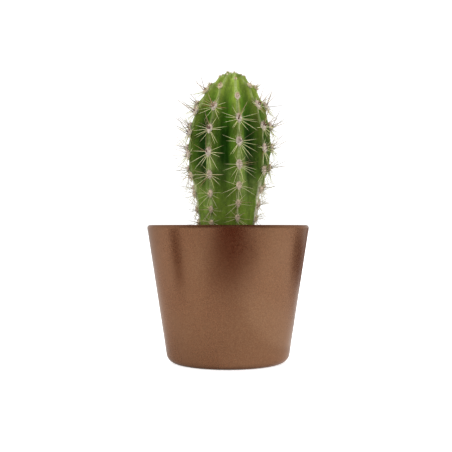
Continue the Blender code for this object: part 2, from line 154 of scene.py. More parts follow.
@dataclass
class Sketch:
    """Adds nodes to one node tree and links them."""

    tree: bpy.types.NodeTree

    def node(self, kind: str, **settings: object) -> bpy.types.Node:
        """Adds a node.

        Args:
            kind: the node's class name.
            settings: attributes to set on it.

        Returns:
            The new node.
        """
        made = self.tree.nodes.new(kind)
        for name, value in settings.items():
            setattr(made, name, value)
        return made

    def put(self, socket: Socket, value: object) -> None:
        """Links a socket to another, or sets its own value.

        Args:
            socket: the input.
            value: an output socket, a number, or a tuple.
        """
        if isinstance(value, Socket):
            self.tree.links.new(value, socket)
        elif isinstance(value, tuple) and len(value) == 3 and socket.type == "RGBA":
            socket.default_value = (*value, 1.0)
        else:
            socket.default_value = value

    def fill(self, made: bpy.types.Node, **values: object) -> None:
        """Links or sets several inputs of a node, named with _ for a space."""
        for name, value in values.items():
            self.put(made.inputs[name.replace("_", " ")], value)

    def math(self, operation: str, *values: object, clamp: bool = False) -> Socket:
        """Adds a Math node.

        Args:
            operation: its operation.
            values: sockets or numbers for its inputs.
            clamp: whether the result is kept from 0 to 1.

        Returns:
            Its output.
        """
        made = self.node("ShaderNodeMath", operation=operation, use_clamp=clamp)
        for socket, value in zip(made.inputs, values):
            self.put(socket, value)
        return made.outputs[0]

    def times(self, first: object, second: object, clamp: bool = False) -> Socket:
        """The product of two numbers."""
        return self.math("MULTIPLY", first, second, clamp=clamp)

    def less(self, first: object, second: object) -> Socket:
        """The first number less the second."""
        return self.math("SUBTRACT", first, second)

    def span(
        self, value: object, low: float, high: float, start: float = 0.0, end: float = 1.0
    ) -> Socket:
        """Maps a range smoothly onto another and holds it at both ends.

        Args:
            value: the socket to map.
            low: what becomes start.
            high: what becomes end.
            start: the result at low.
            end: the result at high.

        Returns:
            The mapped value.
        """
        made = self.node("ShaderNodeMapRange", interpolation_type="SMOOTHSTEP")
        for socket, number in zip(made.inputs, (value, low, high, start, end)):
            self.put(socket, number)
        return made.outputs[0]

    def mix(self, share: object, first: object, second: object) -> Socket:
        """Mixes two colours.

        Args:
            share: how much of the second.
            first: a colour or a socket.
            second: a colour or a socket.

        Returns:
            The mixed colour.
        """
        made = self.node("ShaderNodeMix", data_type="RGBA")
        self.put(made.inputs["Factor"], share)
        self.put(made.inputs[6], first)
        self.put(made.inputs[7], second)
        return made.outputs[2]

    def scaled(self, colour: object, factor: object) -> Socket:
        """Makes a colour brighter or darker.

        Args:
            colour: a colour or a socket.
            factor: a number or a socket that it is multiplied by.

        Returns:
            The changed colour.
        """
        made = self.node("ShaderNodeVectorMath", operation="SCALE")
        self.put(made.inputs[0], colour)
        self.put(made.inputs["Scale"], factor)
        return made.outputs[0]

    def place(self, **mapping: Colour) -> Socket:
        """The point's own Object coordinates, moved or scaled where that is asked for.

        Args:
            mapping: a Mapping node's Location or Scale.

        Returns:
            The coordinates.
        """
        place = self.node("ShaderNodeTexCoord").outputs["Object"]
        if not mapping:
            return place
        made = self.node("ShaderNodeMapping")
        self.fill(made, Vector=place, **mapping)
        return made.outputs[0]

    def axes(self, vector: Socket) -> dict[str, Socket]:
        """Takes a vector apart.

        Args:
            vector: the vector's socket.

        Returns:
            Its X, Y and Z by name.
        """
        made = self.node("ShaderNodeSeparateXYZ")
        self.put(made.inputs[0], vector)
        return dict(made.outputs.items())

    def attribute(self, name: str) -> Socket:
        """A number kept on the mesh under a name."""
        return self.node("ShaderNodeAttribute", attribute_name=name).outputs["Fac"]

    def noise(
        self, scale: object, detail: float = 2.0, rough: float = 0.5, vector: Socket | None = None
    ) -> Socket:
        """A Noise Texture on Object coordinates.

        Args:
            scale: how many lumps a metre.
            detail: its detail.
            rough: its roughness.
            vector: coordinates to use instead.

        Returns:
            A value from about 0 to 1.
        """
        made = self.node("ShaderNodeTexNoise")
        self.fill(made, Vector=vector or self.place(), Scale=scale, Detail=detail, Roughness=rough)
        return made.outputs["Fac"]

    def group(self, tree: bpy.types.NodeTree, **values: float) -> dict[str, Socket]:
        """Places a node group.

        Args:
            tree: the group's tree.
            values: the group's inputs by name.

        Returns:
            The group's outputs by name.
        """
        made = self.node("ShaderNodeGroup", node_tree=tree)
        self.fill(made, **values)
        return dict(made.outputs.items())

    def bump(
        self, height: Socket, distance: float, strength: float = 1.0, normal: Socket | None = None
    ) -> Socket:
        """Adds a Bump node.

        Args:
            height: what it raises.
            distance: the height of 1, in metres.
            strength: its strength.
            normal: a normal to add it to.

        Returns:
            The normal.
        """
        made = self.node("ShaderNodeBump")
        self.fill(made, Height=height, Distance=distance, Strength=strength)
        if normal:
            self.put(made.inputs["Normal"], normal)
        return made.outputs["Normal"]


def new_group(name: str, inputs: dict[str, float], outputs: Iterable[str]) -> tuple[Sketch, dict, dict]:
    """Starts a shader node group.

    Args:
        name: the group's name.
        inputs: its number inputs and their defaults.
        outputs: its number outputs.

    Returns:
        The group's sketch, its inputs by name and its outputs by name.
    """
    tree = bpy.data.node_groups.new(name, "ShaderNodeTree")
    for title, value in inputs.items():
        socket = tree.interface.new_socket(title, in_out="INPUT", socket_type="NodeSocketFloat")
        socket.default_value = value
    for title in outputs:
        tree.interface.new_socket(title, in_out="OUTPUT", socket_type="NodeSocketFloat")
    sketch = Sketch(tree)
    start = sketch.node("NodeGroupInput")
    end = sketch.node("NodeGroupOutput")
    return sketch, dict(start.outputs.items()), dict(end.inputs.items())


def mottle_group() -> bpy.types.NodeTree:
    """Uneven tone, as on skin, glaze or soil: a broad and a fine noise.

    Returns:
        A group with Scale and Fineness in, and Tone and Height out.
    """
    sketch, inputs, outputs = new_group("mottle", {"Scale": 100.0, "Fineness": 5.0}, ("Tone", "Height"))
    broad_share = 0.6
    broad = sketch.noise(inputs["Scale"], 3.0)
    fine = sketch.noise(sketch.times(inputs["Scale"], inputs["Fineness"]), 2.0, 0.6)
    tone = sketch.math("ADD", sketch.times(broad, broad_share), sketch.times(fine, 1.0 - broad_share))
    sketch.put(outputs["Tone"], sketch.span(tone, 0.3, 0.7))
    sketch.put(outputs["Height"], fine)
    return sketch.tree


def speck_group() -> bpy.types.NodeTree:
    """Small round specks, one in a part of the cells of an uneven net.

    Returns:
        A group with Scale, Size and Share in, and Mask out.
    """
    sketch, inputs, outputs = new_group("specks", {"Scale": 1000.0, "Size": 0.3, "Share": 0.5}, ("Mask",))
    edge_sharpness = 8.0
    cells = sketch.node("ShaderNodeTexVoronoi", feature="F1")
    sketch.fill(cells, Vector=sketch.place(), Scale=inputs["Scale"])
    parts = sketch.node("ShaderNodeSeparateColor")
    sketch.put(parts.inputs[0], cells.outputs["Color"])
    chosen = sketch.math("LESS_THAN", parts.outputs[0], inputs["Share"])
    inside = sketch.less(inputs["Size"], cells.outputs["Distance"])
    sketch.put(outputs["Mask"], sketch.times(sketch.times(inside, edge_sharpness, clamp=True), chosen))
    return sketch.tree


@dataclass(frozen=True)
class Effects:
    """The node groups that several finishes share."""

    mottle: bpy.types.NodeTree
    specks: bpy.types.NodeTree


def blank_material(name: str) -> tuple[Material, Sketch, bpy.types.Node]:
    """Starts a material.

    Args:
        name: its name.

    Returns:
        The material, a sketch of its tree and its Principled BSDF.
    """
    made = bpy.data.materials.new(name)
    made.use_nodes = True
    return made, Sketch(made.node_tree), made.node_tree.nodes["Principled BSDF"]


@dataclass(frozen=True)
class SatinCopper:
    """Satin metallic coat with a very fine grain, slightly uneven in tone, under a thin lacquer."""

    light: Colour = (0.196, 0.095, 0.046)
    deep: Colour = (0.170, 0.072, 0.032)
    edge: Colour = (0.66, 0.57, 0.52)
    metallic: float = 0.94
    roughness: float = 0.29
    smoother: float = 0.03
    rougher: float = 0.04
    lacquer: float = 0.22
    lacquer_roughness: float = 0.25
    grain_scale: float = 2600.0
    grain_relief: float = 0.008 * MM
    flakes: Belt = (0.35, 0.7, 0.86, 1.16)
    cloud_scale: float = 45.0
    cloud_fineness: float = 22.0

    def material(self, effects: Effects) -> Material:
        """Builds the finish.

        Args:
            effects: the shared node groups.

        Returns:
            The material.
        """
        made, sketch, shader = blank_material("satin_copper")
        cloud = sketch.group(effects.mottle, Scale=self.cloud_scale, Fineness=self.cloud_fineness)["Tone"]
        grain = sketch.noise(self.grain_scale, 1.0, 0.7)
        colour = sketch.mix(cloud, self.deep, self.light)
        low, high = self.roughness - self.smoother, self.roughness + self.rougher
        sketch.fill(
            shader,
            Base_Color=sketch.scaled(colour, sketch.span(grain, *self.flakes)),
            Metallic=self.metallic,
            Roughness=sketch.span(cloud, 0.0, 1.0, low, high),
            Specular_Tint=self.edge,
            Coat_Weight=self.lacquer,
            Coat_Roughness=self.lacquer_roughness,
            Normal=sketch.bump(grain, self.grain_relief, 0.3),
        )
        return made


@dataclass(frozen=True)
class CactusSkin:
    """Waxy green skin: grooves darkened by greener tissue and painted shade, pale bloom above each areole,
    light at the crown, cork low down.

    Belts run up the stem from 0 at the pot's rim to 1 at the crown, or from 0 on a crest to 1 in a groove.
    """

    # groove and groove_above: colours deep in the grooves, greener tissue darkened further with painted
    # shade
    groove: Colour = (0.011, 0.046, 0.002)
    groove_above: Colour = (0.050, 0.150, 0.005)
    flank: Colour = (0.048, 0.103, 0.006)
    crest: Colour = (0.092, 0.138, 0.015)
    crown: Colour = (0.27, 0.36, 0.050)
    base: Colour = (0.130, 0.198, 0.023)
    bloom: Colour = (0.34, 0.40, 0.18)
    cork: Colour = (0.74, 0.67, 0.53)
    haze: Colour = (0.31, 0.38, 0.11)
    crest_narrows: Belt = (0.40, 0.75, 1.5, 0.85)
    crest_belt: Belt = (0.05, 0.50)
    groove_belt: Belt = (0.36, 0.82)
    groove_above_belt: Belt = (0.56, 0.78)
    base_belt: Belt = (0.42, 0.0)
    crown_belt: Belt = (0.60, 1.01)
    crown_share: float = 0.95
    crown_kept_from_groove: float = 0.85
    bloom_half_width: Belt = (0.0, 1.0, 0.35, 1.25)
    bloom_sharpness: float = 2.6
    bloom_share: float = 0.46
    line_half_width: float = 0.75
    line_sharpness: float = 3.0
    line_belt: Belt = (0.55, 0.82, 0.12, 0.45)
    haze_above: Belt = (0.12, 0.24)
    haze_below: Belt = (0.54, 0.36)
    haze_scale: float = 85.0
    haze_shift: Colour = (0.445, -0.127, -0.183)
    haze_patches: Belt = (0.44, 0.62)
    haze_in_groove: Belt = (0.85, 0.50, 0.10, 0.38)
    tone_scale: float = 190.0
    tone_shades: Belt = (0.80, 1.18)
    cover_shades: Belt = (0.55, 1.0)
    vein_scale: float = 620.0
    vein_stretch: float = 0.28
    vein_shades: Belt = (0.80, 1.22)
    dot_scale: float = 1500.0
    dot_share: float = 0.22
    dot_less_in_groove: float = 0.20
    crust_scale: float = 900.0
    crust_belt: Belt = (0.30, 0.55)
    pore_relief: float = 0.05 * MM
    crust_relief: float = 0.25 * MM

    def green(self, sketch: Sketch, rise: Socket, valley: Socket, depth: Socket) -> Socket:
        """The plain skin: crests, flanks, grooves, the pale base and the fresh crown.

        Args:
            sketch: the material's sketch.
            rise: height share on the stem.
            valley: how far into the groove.
            depth: how deep and shaded the groove is.

        Returns:
            Its colour.
        """
        ridge = sketch.times(valley, sketch.span(rise, *self.crest_narrows))
        body = sketch.mix(sketch.span(ridge, *self.crest_belt), self.crest, self.flank)
        groove = sketch.mix(sketch.span(rise, *self.groove_above_belt), self.groove, self.groove_above)
        body = sketch.mix(depth, body, groove)
        body = sketch.mix(sketch.span(rise, *self.base_belt), body, self.base)
        young = sketch.times(sketch.span(rise, *self.crown_belt), self.crown_share)
        young = sketch.times(young, sketch.less(1.0, sketch.times(depth, self.crown_kept_from_groove)))
        return sketch.mix(young, body, self.crown)

    def powder(self, sketch: Sketch, rise: Socket, uneven: Socket) -> Socket:
        """The bloom: a shield above each areole, and a line along the crest.

        Args:
            sketch: the material's sketch.
            rise: height share on the stem.
            uneven: how thickly it lies.

        Returns:
            Its share.
        """
        across = sketch.attribute("across")
        inside = sketch.less(sketch.span(sketch.attribute("phase"), *self.bloom_half_width), across)
        shield = sketch.times(inside, self.bloom_sharpness, clamp=True)
        line = sketch.times(sketch.less(self.line_half_width, across), self.line_sharpness, clamp=True)
        line = sketch.times(line, sketch.span(rise, *self.line_belt))
        return sketch.math("MAXIMUM", sketch.times(shield, sketch.times(uneven, self.bloom_share)), line)

    def dust(self, sketch: Sketch, rise: Socket, valley: Socket) -> Socket:
        """The pale haze in patches low on the stem.

        Args:
            sketch: the material's sketch.
            rise: height share on the stem.
            valley: how far into the groove.

        Returns:
            Its share.
        """
        belt = sketch.times(sketch.span(rise, *self.haze_above), sketch.span(rise, *self.haze_below))
        clouds = sketch.noise(self.haze_scale, 1.0, 0.5, sketch.place(Location=self.haze_shift))
        patches = sketch.span(clouds, *self.haze_patches)
        return sketch.times(belt, sketch.times(patches, sketch.span(valley, *self.haze_in_groove)))

    def material(self, effects: Effects) -> Material:
        """Builds the finish.

        Args:
            effects: the shared node groups.

        Returns:
            The material.
        """
        made, sketch, shader = blank_material("cactus_skin")
        rise, valley = sketch.attribute("rise"), sketch.attribute("valley")
        mottle = sketch.group(effects.mottle, Scale=self.tone_scale, Fineness=7.0)
        tone = mottle["Tone"]
        # mask of the grooves' darker tissue and painted shade, strongest where they are deep
        depth = sketch.times(sketch.span(valley, *self.groove_belt), sketch.attribute("fold"))
        uneven = sketch.span(tone, 0.0, 1.0, *self.cover_shades)
        body = self.green(sketch, rise, valley, depth)
        body = sketch.mix(sketch.times(self.dust(sketch, rise, valley), uneven), body, self.haze)
        body = sketch.mix(self.powder(sketch, rise, uneven), body, self.bloom)
        veins = sketch.noise(self.vein_scale, 3.0, 0.6, sketch.place(Scale=(1.0, 1.0, self.vein_stretch)))
        # the mesh's tone is the ribs' painted light and shade; the mottle varies at random
        shade = sketch.times(sketch.span(tone, 0.0, 1.0, *self.tone_shades), sketch.attribute("tone"))
        shade = sketch.times(shade, sketch.span(veins, 0.3, 0.7, *self.vein_shades))
        dots = sketch.group(effects.specks, Scale=self.dot_scale, Size=0.28, Share=0.5)["Mask"]
        # fewer pale specks inside the grooves' painted shade
        lit = sketch.less(self.dot_share, sketch.times(depth, self.dot_less_in_groove))
        body = sketch.mix(sketch.times(dots, lit), sketch.scaled(body, shade), self.bloom)
        crust = sketch.noise(self.crust_scale, 4.0, 0.65)
        corked = sketch.times(sketch.attribute("cork"), sketch.span(crust, *self.crust_belt), clamp=True)
        pores = sketch.bump(mottle["Height"], self.pore_relief, 0.6)
        sketch.fill(
            shader,
            Base_Color=sketch.mix(corked, body, self.cork),
            Roughness=sketch.span(tone, 0.0, 1.0, 0.42, 0.56),
            Normal=sketch.bump(sketch.times(corked, crust), self.crust_relief, 0.8, pores),
            Subsurface_Weight=0.07,
            Subsurface_Radius=(0.9, 1.0, 0.25),
            Subsurface_Scale=1.0 * MM,
            Specular_IOR_Level=0.06,
            Sheen_Weight=0.02,
            Sheen_Roughness=0.45,
            Sheen_Tint=(0.75, 0.85, 0.55),
        )
        return made


@dataclass(frozen=True)
class SpineFinish:
    """Horny straw-coloured spines with brown tips, duller and darker with age."""

    straw: Colour = (0.60, 0.58, 0.31)
    fresh: Colour = (0.47, 0.50, 0.20)
    brown: Colour = (0.15, 0.075, 0.045)
    red: Colour = (0.28, 0.09, 0.05)
    grey: Colour = (0.66, 0.55, 0.35)
    central: Colour = (0.31, 0.18, 0.095)
    dark: Colour = (0.13, 0.075, 0.045)
    root: Colour = (0.115, 0.042, 0.028)
    sprout: Colour = (0.34, 0.17, 0.07)
    bud: Colour = (0.56, 0.38, 0.19)
    fresh_belt: Belt = (0.2, 0.9)
    grey_belt: Belt = (0.55, 1.0, 0.0, 0.55)
    red_belt: Belt = (0.90, 0.97, 0.0, 0.8)
    dark_above: float = 0.58
    central_fades: Belt = (0.50, 0.85, 0.85, 0.30)
    root_fades: Belt = (0.50, 0.85, 1.0, 0.15)
    root_belt: Belt = (0.20, 0.10)
    bud_belt: Belt = (0.06, 0.24)
    tip_from: float = 0.86
    tip_varies: float = 0.25
    tip_sharpness: float = 5.0

    def material(self) -> Material:
        """Builds the finish.

        Returns:
            The material.
        """
        made, sketch, shader = blank_material("spine_horn")
        along, tint, age, central, sprouting = (
            sketch.attribute(name) for name in ("along", "tint", "age", "central", "fresh")
        )
        horn = sketch.mix(sketch.math("GREATER_THAN", tint, self.dark_above), self.central, self.dark)
        rooted = sketch.times(sketch.span(along, *self.root_belt), central)
        covers = (
            (sketch.span(tint, *self.fresh_belt), self.fresh),
            (sketch.span(age, *self.grey_belt), self.grey),
            (sketch.span(tint, *self.red_belt), self.red),
            (sketch.times(central, sketch.span(age, *self.central_fades)), horn),
            (sketch.times(rooted, sketch.span(age, *self.root_fades)), self.root),
            (sprouting, sketch.mix(sketch.span(age, *self.bud_belt), self.bud, self.sprout)),
        )
        body = self.straw
        for share, colour in covers:
            body = sketch.mix(share, body, colour)
        tip_start = sketch.less(self.tip_from, sketch.times(tint, self.tip_varies))
        tip = sketch.times(sketch.less(along, tip_start), self.tip_sharpness, clamp=True)
        sketch.fill(
            shader,
            Base_Color=sketch.mix(tip, body, self.brown),
            Roughness=0.42,
            Subsurface_Weight=0.15,
            Subsurface_Radius=(1.0, 0.8, 0.4),
            Subsurface_Scale=0.2 * MM,
            Normal=sketch.bump(sketch.noise(1800.0, 2.0), 0.02 * MM, 0.4),
        )
        return made


@dataclass(frozen=True)
class WoolFinish:
    """Short felt of pale hairs, rosy grey when new and brown with dust when old; the felt under them darker
    with painted shade.
    """

    pale: Colour = (0.72, 0.63, 0.52)
    rosy: Colour = (0.58, 0.43, 0.35)
    old: Colour = (0.82, 0.66, 0.46)
    bud: Colour = (0.74, 0.60, 0.40)
    rosy_belt: Belt = (0.15, 0.95)
    old_belt: Belt = (0.50, 0.90, 0.0, 0.85)
    bud_belt: Belt = (0.24, 0.06, 0.0, 0.85)
    clump_scale: float = 1400.0
    shades: Belt = (0.62, 1.05)
    felt_painted_shade: Belt = (0.3, 0.2)

    def material(self, name: str, depth: float) -> Material:
        """Builds the finish.

        Args:
            name: the material's name.
            depth: how much painted shade darkens it against the outer hairs, from 0 to 1.

        Returns:
            The material.
        """
        made, sketch, shader = blank_material(name)
        age = sketch.attribute("age")
        body = sketch.mix(sketch.span(sketch.attribute("tint"), *self.rosy_belt), self.pale, self.rosy)
        body = sketch.mix(sketch.span(age, *self.old_belt), body, self.old)
        body = sketch.mix(sketch.span(age, *self.bud_belt), body, self.bud)
        clump = sketch.noise(self.clump_scale, 3.0)
        # painted shade: the felt below the hairs is darker by depth
        shades = (shade - deep * depth for shade, deep in zip(self.shades, self.felt_painted_shade))
        sketch.fill(
            shader,
            Base_Color=sketch.scaled(body, sketch.span(clump, 0.3, 0.7, *shades)),
            Roughness=0.9,
            Specular_IOR_Level=0.15,
            Sheen_Weight=0.25,
            Normal=sketch.bump(clump, 0.15 * MM, 0.9),
        )
        return made


class Grit(Enum):
    """What the loose top of the soil is made of."""

    PEAT = "peat_crumbs"
    BARK = "bark_chips"
    PERLITE = "perlite_grains"


@dataclass(frozen=True)
class SoilFinish:
    """Moist peat mix, or one of its coarse parts."""

    dark: Colour
    light: Colour
    roughness: float = 0.92
    scale: float = 700.0
    relief: float = 0.2 * MM
    fleck_finer: float = 1.6
    fleck_share: float = 0.55

    def material(self, name: str, effects: Effects) -> Material:
        """Builds the finish.

        Args:
            name: the material's name.
            effects: the shared node groups.

        Returns:
            The material.
        """
        made, sketch, shader = blank_material(name)
        tone = sketch.group(effects.mottle, Scale=self.scale, Fineness=4.0)
        finer = self.scale * self.fleck_finer
        dots = sketch.group(effects.specks, Scale=finer, Size=0.22, Share=0.16)["Mask"]
        body = sketch.mix(tone["Tone"], self.dark, self.light)
        sketch.fill(
            shader,
            Base_Color=sketch.mix(sketch.times(dots, self.fleck_share), body, self.light),
            Roughness=self.roughness,
            Specular_IOR_Level=0.25,
            Normal=sketch.bump(tone["Height"], self.relief, 0.9),
        )
        return made


@dataclass(frozen=True)
class PotForm:
    """The pot's sizes, as in the model."""

    height: float = 59.0 * MM
    rim_radius: float = 35.0 * MM
    base_radius: float = 26.0 * MM
    wall: float = 3.0 * MM
    rim_round_outer: float = 1.3 * MM
    rim_round_inner: float = 1.1 * MM
    base_round: float = 4.0 * MM
    floor_top: float = 4.6 * MM
    floor_round: float = 3.0 * MM
    foot_inner: float = 19.0 * MM
    foot_recess: float = 1.3 * MM
    foot_round: float = 0.7 * MM

    @property
    def taper(self) -> float:
        """The wall's lean from upright, in radians."""
        return math.atan2(self.rim_radius - self.base_radius, self.height)

    def wall_line(self, height: float, depth: float = 0.0) -> float:
        """Radius of the outer wall at a height above the ground, or of a line a depth inside it."""
        outer = self.base_radius + (self.rim_radius - self.base_radius) * height / self.height
        return outer - depth / math.cos(self.taper)


@dataclass
class PotShell:
    """The pot, turned from a cone with a rounded rim, a rounded foot and a foot ring."""

    form: PotForm
    sides: int = 224
    round_steps: int = 7
    fine_steps: int = 4
    foot_steps: int = 10
    floor_inset: float = 0.5
    smooth_angle: float = math.radians(40.0)

    def bevel_ring(self, radius: float, height: float, rounding: float, lean: float, steps: int) -> None:
        """Rounds one ring of edges.

        Args:
            radius: of the ring.
            height: of the ring.
            rounding: the radius of the round edge.
            lean: how far the inside corner is from a right angle, in radians.
            steps: the number of faces across it.
        """
        select_where(
            "EDGE",
            lambda v: abs(v.co.z - height) < NEAR and abs(v.co.to_2d().length - radius) < NEAR,
        )
        width = rounding / math.tan((math.pi / 2.0 + lean) / 2.0)
        bpy.ops.mesh.bevel(offset=width, segments=steps, profile=0.5, affect="EDGES")

    def build(self, finish: Material) -> None:
        """Models the pot.

        Args:
            finish: its material.
        """
        form = self.form
        pot = begin(
            bpy.ops.mesh.primitive_cone_add, "pot_shell", vertices=self.sides, radius1=form.base_radius,
            radius2=form.rim_radius, depth=form.height, location=(0.0, 0.0, form.height / 2.0),
            end_fill_type="NGON",
        )
        bpy.ops.object.mode_set(mode="EDIT")
        mouth = form.rim_radius - form.wall / math.cos(form.taper)
        select_where("FACE", lambda v: v.co.z > form.height - NEAR)
        bpy.ops.mesh.inset(thickness=form.rim_radius - mouth)
        drop = form.floor_top - form.height
        bpy.ops.mesh.extrude_region_move(TRANSFORM_OT_translate={"value": (0.0, 0.0, drop)})
        inner_floor = form.wall_line(form.floor_top, form.wall)
        bpy.ops.transform.resize(value=(inner_floor / mouth, inner_floor / mouth, 1.0))
        bpy.ops.mesh.inset(thickness=inner_floor * self.floor_inset)
        select_where("FACE", lambda v: v.co.z < NEAR)
        bpy.ops.mesh.inset(thickness=form.base_radius - form.foot_inner)
        bpy.ops.mesh.extrude_region_move(TRANSFORM_OT_translate={"value": (0.0, 0.0, form.foot_recess)})
        lean = form.taper
        for radius, height, rounding, slant, steps in (
            (form.rim_radius, form.height, form.rim_round_outer, -lean, self.round_steps),
            (mouth, form.height, form.rim_round_inner, lean, self.round_steps),
            (form.base_radius, 0.0, form.base_round, lean, self.foot_steps),
            (inner_floor, form.floor_top, form.floor_round, lean, self.fine_steps),
            (form.foot_inner, 0.0, form.foot_round, 0.0, self.fine_steps),
            (form.foot_inner, form.foot_recess, form.foot_round * 0.5, 0.0, self.fine_steps),
        ):
            self.bevel_ring(radius, height, rounding, slant, steps)
        bpy.ops.mesh.select_all(action="SELECT")
        bpy.ops.mesh.normals_make_consistent(inside=False)
        bpy.ops.object.mode_set(mode="OBJECT")
        bpy.ops.object.shade_smooth_by_angle(angle=self.smooth_angle)
        pot.data.materials.append(finish)
        publish(pot, ["pot"])


@dataclass(frozen=True)
class Template:
    """The points and faces of a small shape that is copied many times."""

    points: np.ndarray
    faces: tuple[tuple[int, ...], ...]

    @classmethod
    def taken_from(cls, obj: Piece) -> "Template":
        """Reads a modelled object and removes it.

        Args:
            obj: the object, with its place in its mesh.

        Returns:
            The template.
        """
        points = np.array([vertex.co for vertex in obj.data.vertices])
        faces = tuple(tuple(face.vertices) for face in obj.data.polygons)
        bpy.data.objects.remove(obj)
        return cls(points, faces)


@dataclass
class Swarm:
    """Gathers copies of templates into one mesh, with numbers kept on each point."""

    name: str
    points: list[np.ndarray] = field(default_factory=list)
    faces: list[tuple[int, ...]] = field(default_factory=list)
    numbers: dict[str, list[np.ndarray]] = field(default_factory=dict)
    count: int = 0

    def add(self, template: Template, points: np.ndarray, **numbers: object) -> None:
        """Adds a copy.

        Args:
            template: the shape copied.
            points: the copy's points.
            numbers: values kept on the points, one for all or one for each.
        """
        self.faces += [tuple(index + self.count for index in face) for face in template.faces]
        self.points.append(points)
        for key, value in numbers.items():
            spread = np.broadcast_to(np.asarray(value, float), (len(points),))
            self.numbers.setdefault(key, []).append(spread)
        self.count += len(points)

    def build(self, finish: Material) -> Piece:
        """Makes the object.

        Args:
            finish: its material.

        Returns:
            The finished piece.
        """
        mesh = bpy.data.meshes.new(self.name)
        mesh.from_pydata(np.concatenate(self.points).tolist(), [], self.faces)
        for key, values in self.numbers.items():
            attribute = mesh.attributes.new(key, "FLOAT", "POINT")
            attribute.data.foreach_set("value", np.concatenate(values).astype(np.float32))
        mesh.shade_smooth()
        mesh.materials.append(finish)
        made = bpy.data.objects.new(self.name, mesh)
        bpy.context.scene.collection.objects.link(made)
        return made


@dataclass(frozen=True)
class StemForm:
    """The stem's form, as in the model, worked out for whole arrays of places at once.

    A place on the skin is a rib, a share of the way from its crest to the next rib's, and a distance from
    the middle of the crown down the crest.
    """

    rim: float = 59.0 * MM
    soil_below_rim: float = 2.6 * MM
    crest_outline: tuple[tuple[float, float], ...] = (
        (0.0, 65.1), (1.4, 65.4), (2.7, 65.3), (4.3, 64.2), (6.3, 62.4), (9.1, 59.6), (12.0, 55.8),
        (15.1, 49.6), (17.5, 40.5), (18.1, 32.0), (17.4, 24.6), (15.9, 19.0), (13.8, 10.8), (12.3, 3.0),
        (11.3, -3.0), (9.9, -9.0), (6.2, -13.6), (0.0, -15.0),
    )
    bend: tuple[tuple[float, float], ...] = (
        (-15.0, -0.3), (0.0, -0.3), (20.0, 0.0), (35.0, 0.3), (50.0, 0.8), (60.0, 1.3), (66.0, 2.0),
    )
    rib_count: int = 9
    first_rib: float = math.radians(13.4)
    rib_fan: float = math.radians(12.0)
    rib_fan_height: float = 26.0 * MM
    crown_draw: float = math.radians(7.0)
    crown_draw_belt: Belt = (38.0 * MM, 56.0 * MM)
    groove_depth: float = 4.6 * MM
    groove_sharpness: float = 1.25
    groove_at_crown: float = 0.16
    groove_at_soil: float = 0.06
    groove_crown_belt: Belt = (2.0 * MM, 32.0 * MM)
    roof_at_crown: float = 0.9
    roof_below: float = 0.3
    roof_belt: Belt = (12.0 * MM, 36.0 * MM)
    groove_soil_belt: Belt = (3.0 * MM, 28.0 * MM)
    crown_eye: float = 3.0 * MM
    first_areole_height: tuple[float, ...] = (3.0, 2.5, 4.2, 1.7, 3.5, 0.8, 2.9, 1.1, 0.9)
    rib_spacing: tuple[float, ...] = (0.98, 0.94, 0.9, 0.95, 0.97, 0.93, 0.96, 0.94, 0.97)
    spacing_at_soil: float = 5.3 * MM
    spacing_growth: float = 0.19
    spacing_full: float = 9.6 * MM
    spacing_full_from: float = 23.0 * MM
    spacing_slow_growth: float = 0.02
    crown_crowding: float = 0.6
    crown_least_spacing: float = 0.3 * MM
    areole_nearest_crown: float = 2.4 * MM
    drift: float = math.radians(9.0)
    drift_centre: float = math.radians(65.0)
    drift_narrowness: float = 2.5
    drift_belt: Belt = (14.0 * MM, 35.0 * MM)
    swelling_rise: float = 0.55 * MM
    swelling_reach: float = 2.6 * MM
    swelling_crown_belt: Belt = (-4.0 * MM, 12.0 * MM)
    knob_rise: float = 0.35 * MM
    knob_grows: Belt = (1.0 * MM, 10.0 * MM)
    knob_fades: Belt = (14.0 * MM, 28.0 * MM)
    outline_steps: int = 40

    def __post_init__(self) -> None:
        """Works out the smooth outline and the areoles' places once."""
        points = np.array([(r, z) for r, z in self.crest_outline]) * MM + np.array([0.0, self.rim])
        before = points[1] * np.array([-1.0, 1.0])
        after = points[-2] * np.array([-1.0, 1.0])
        guides = np.vstack([before, points, after])
        t = (np.arange(self.outline_steps) / self.outline_steps)[:, None]
        curves = []
        for a, b, c, d in zip(guides, guides[1:], guides[2:], guides[3:]):
            cubic = (3 * b - a - 3 * c + d) * t**3
            curves.append(0.5 * (2 * b + (c - a) * t + (2 * a - 5 * b + 4 * c - d) * t**2 + cubic))
        samples = np.vstack([*curves, points[-1:]])
        steps = np.linalg.norm(np.diff(samples, axis=0), axis=1)
        object.__setattr__(self, "samples", samples)
        object.__setattr__(self, "distances", np.concatenate([[0.0], np.cumsum(steps)]))
        object.__setattr__(self, "areoles", [self.areole_distances(rib) for rib in range(self.rib_count)])

    @property
    def total(self) -> float:
        """The crest's whole length, from the crown to the foot."""
        return float(self.distances[-1])

    def outline(self, distance: np.ndarray) -> tuple[np.ndarray, np.ndarray, np.ndarray, np.ndarray]:
        """The crest outline at distances from the crown.

        Args:
            distance: the distances.

        Returns:
            Radius, height, and the radial and upward parts of the outward normal.
        """
        radius = np.interp(distance, self.distances, self.samples[:, 0])
        height = np.interp(distance, self.distances, self.samples[:, 1])
        slope = np.gradient(self.samples, self.distances, axis=0)
        along_r = np.interp(distance, self.distances, slope[:, 0])
        along_z = np.interp(distance, self.distances, slope[:, 1])
        length = np.hypot(along_r, along_z)
        return np.maximum(radius, 0.0), height, -along_z / length, along_r / length

    def distance_at(self, height: float) -> float:
        """Distance from the crown to where the outline comes down to a height below its widest point.

        Args:
            height: above the ground.

        Returns:
            The distance.
        """
        widest = int(np.argmax(self.samples[:, 0]))
        below = widest + int(np.argmax(self.samples[widest:, 1] <= height))
        return float(self.distances[below])

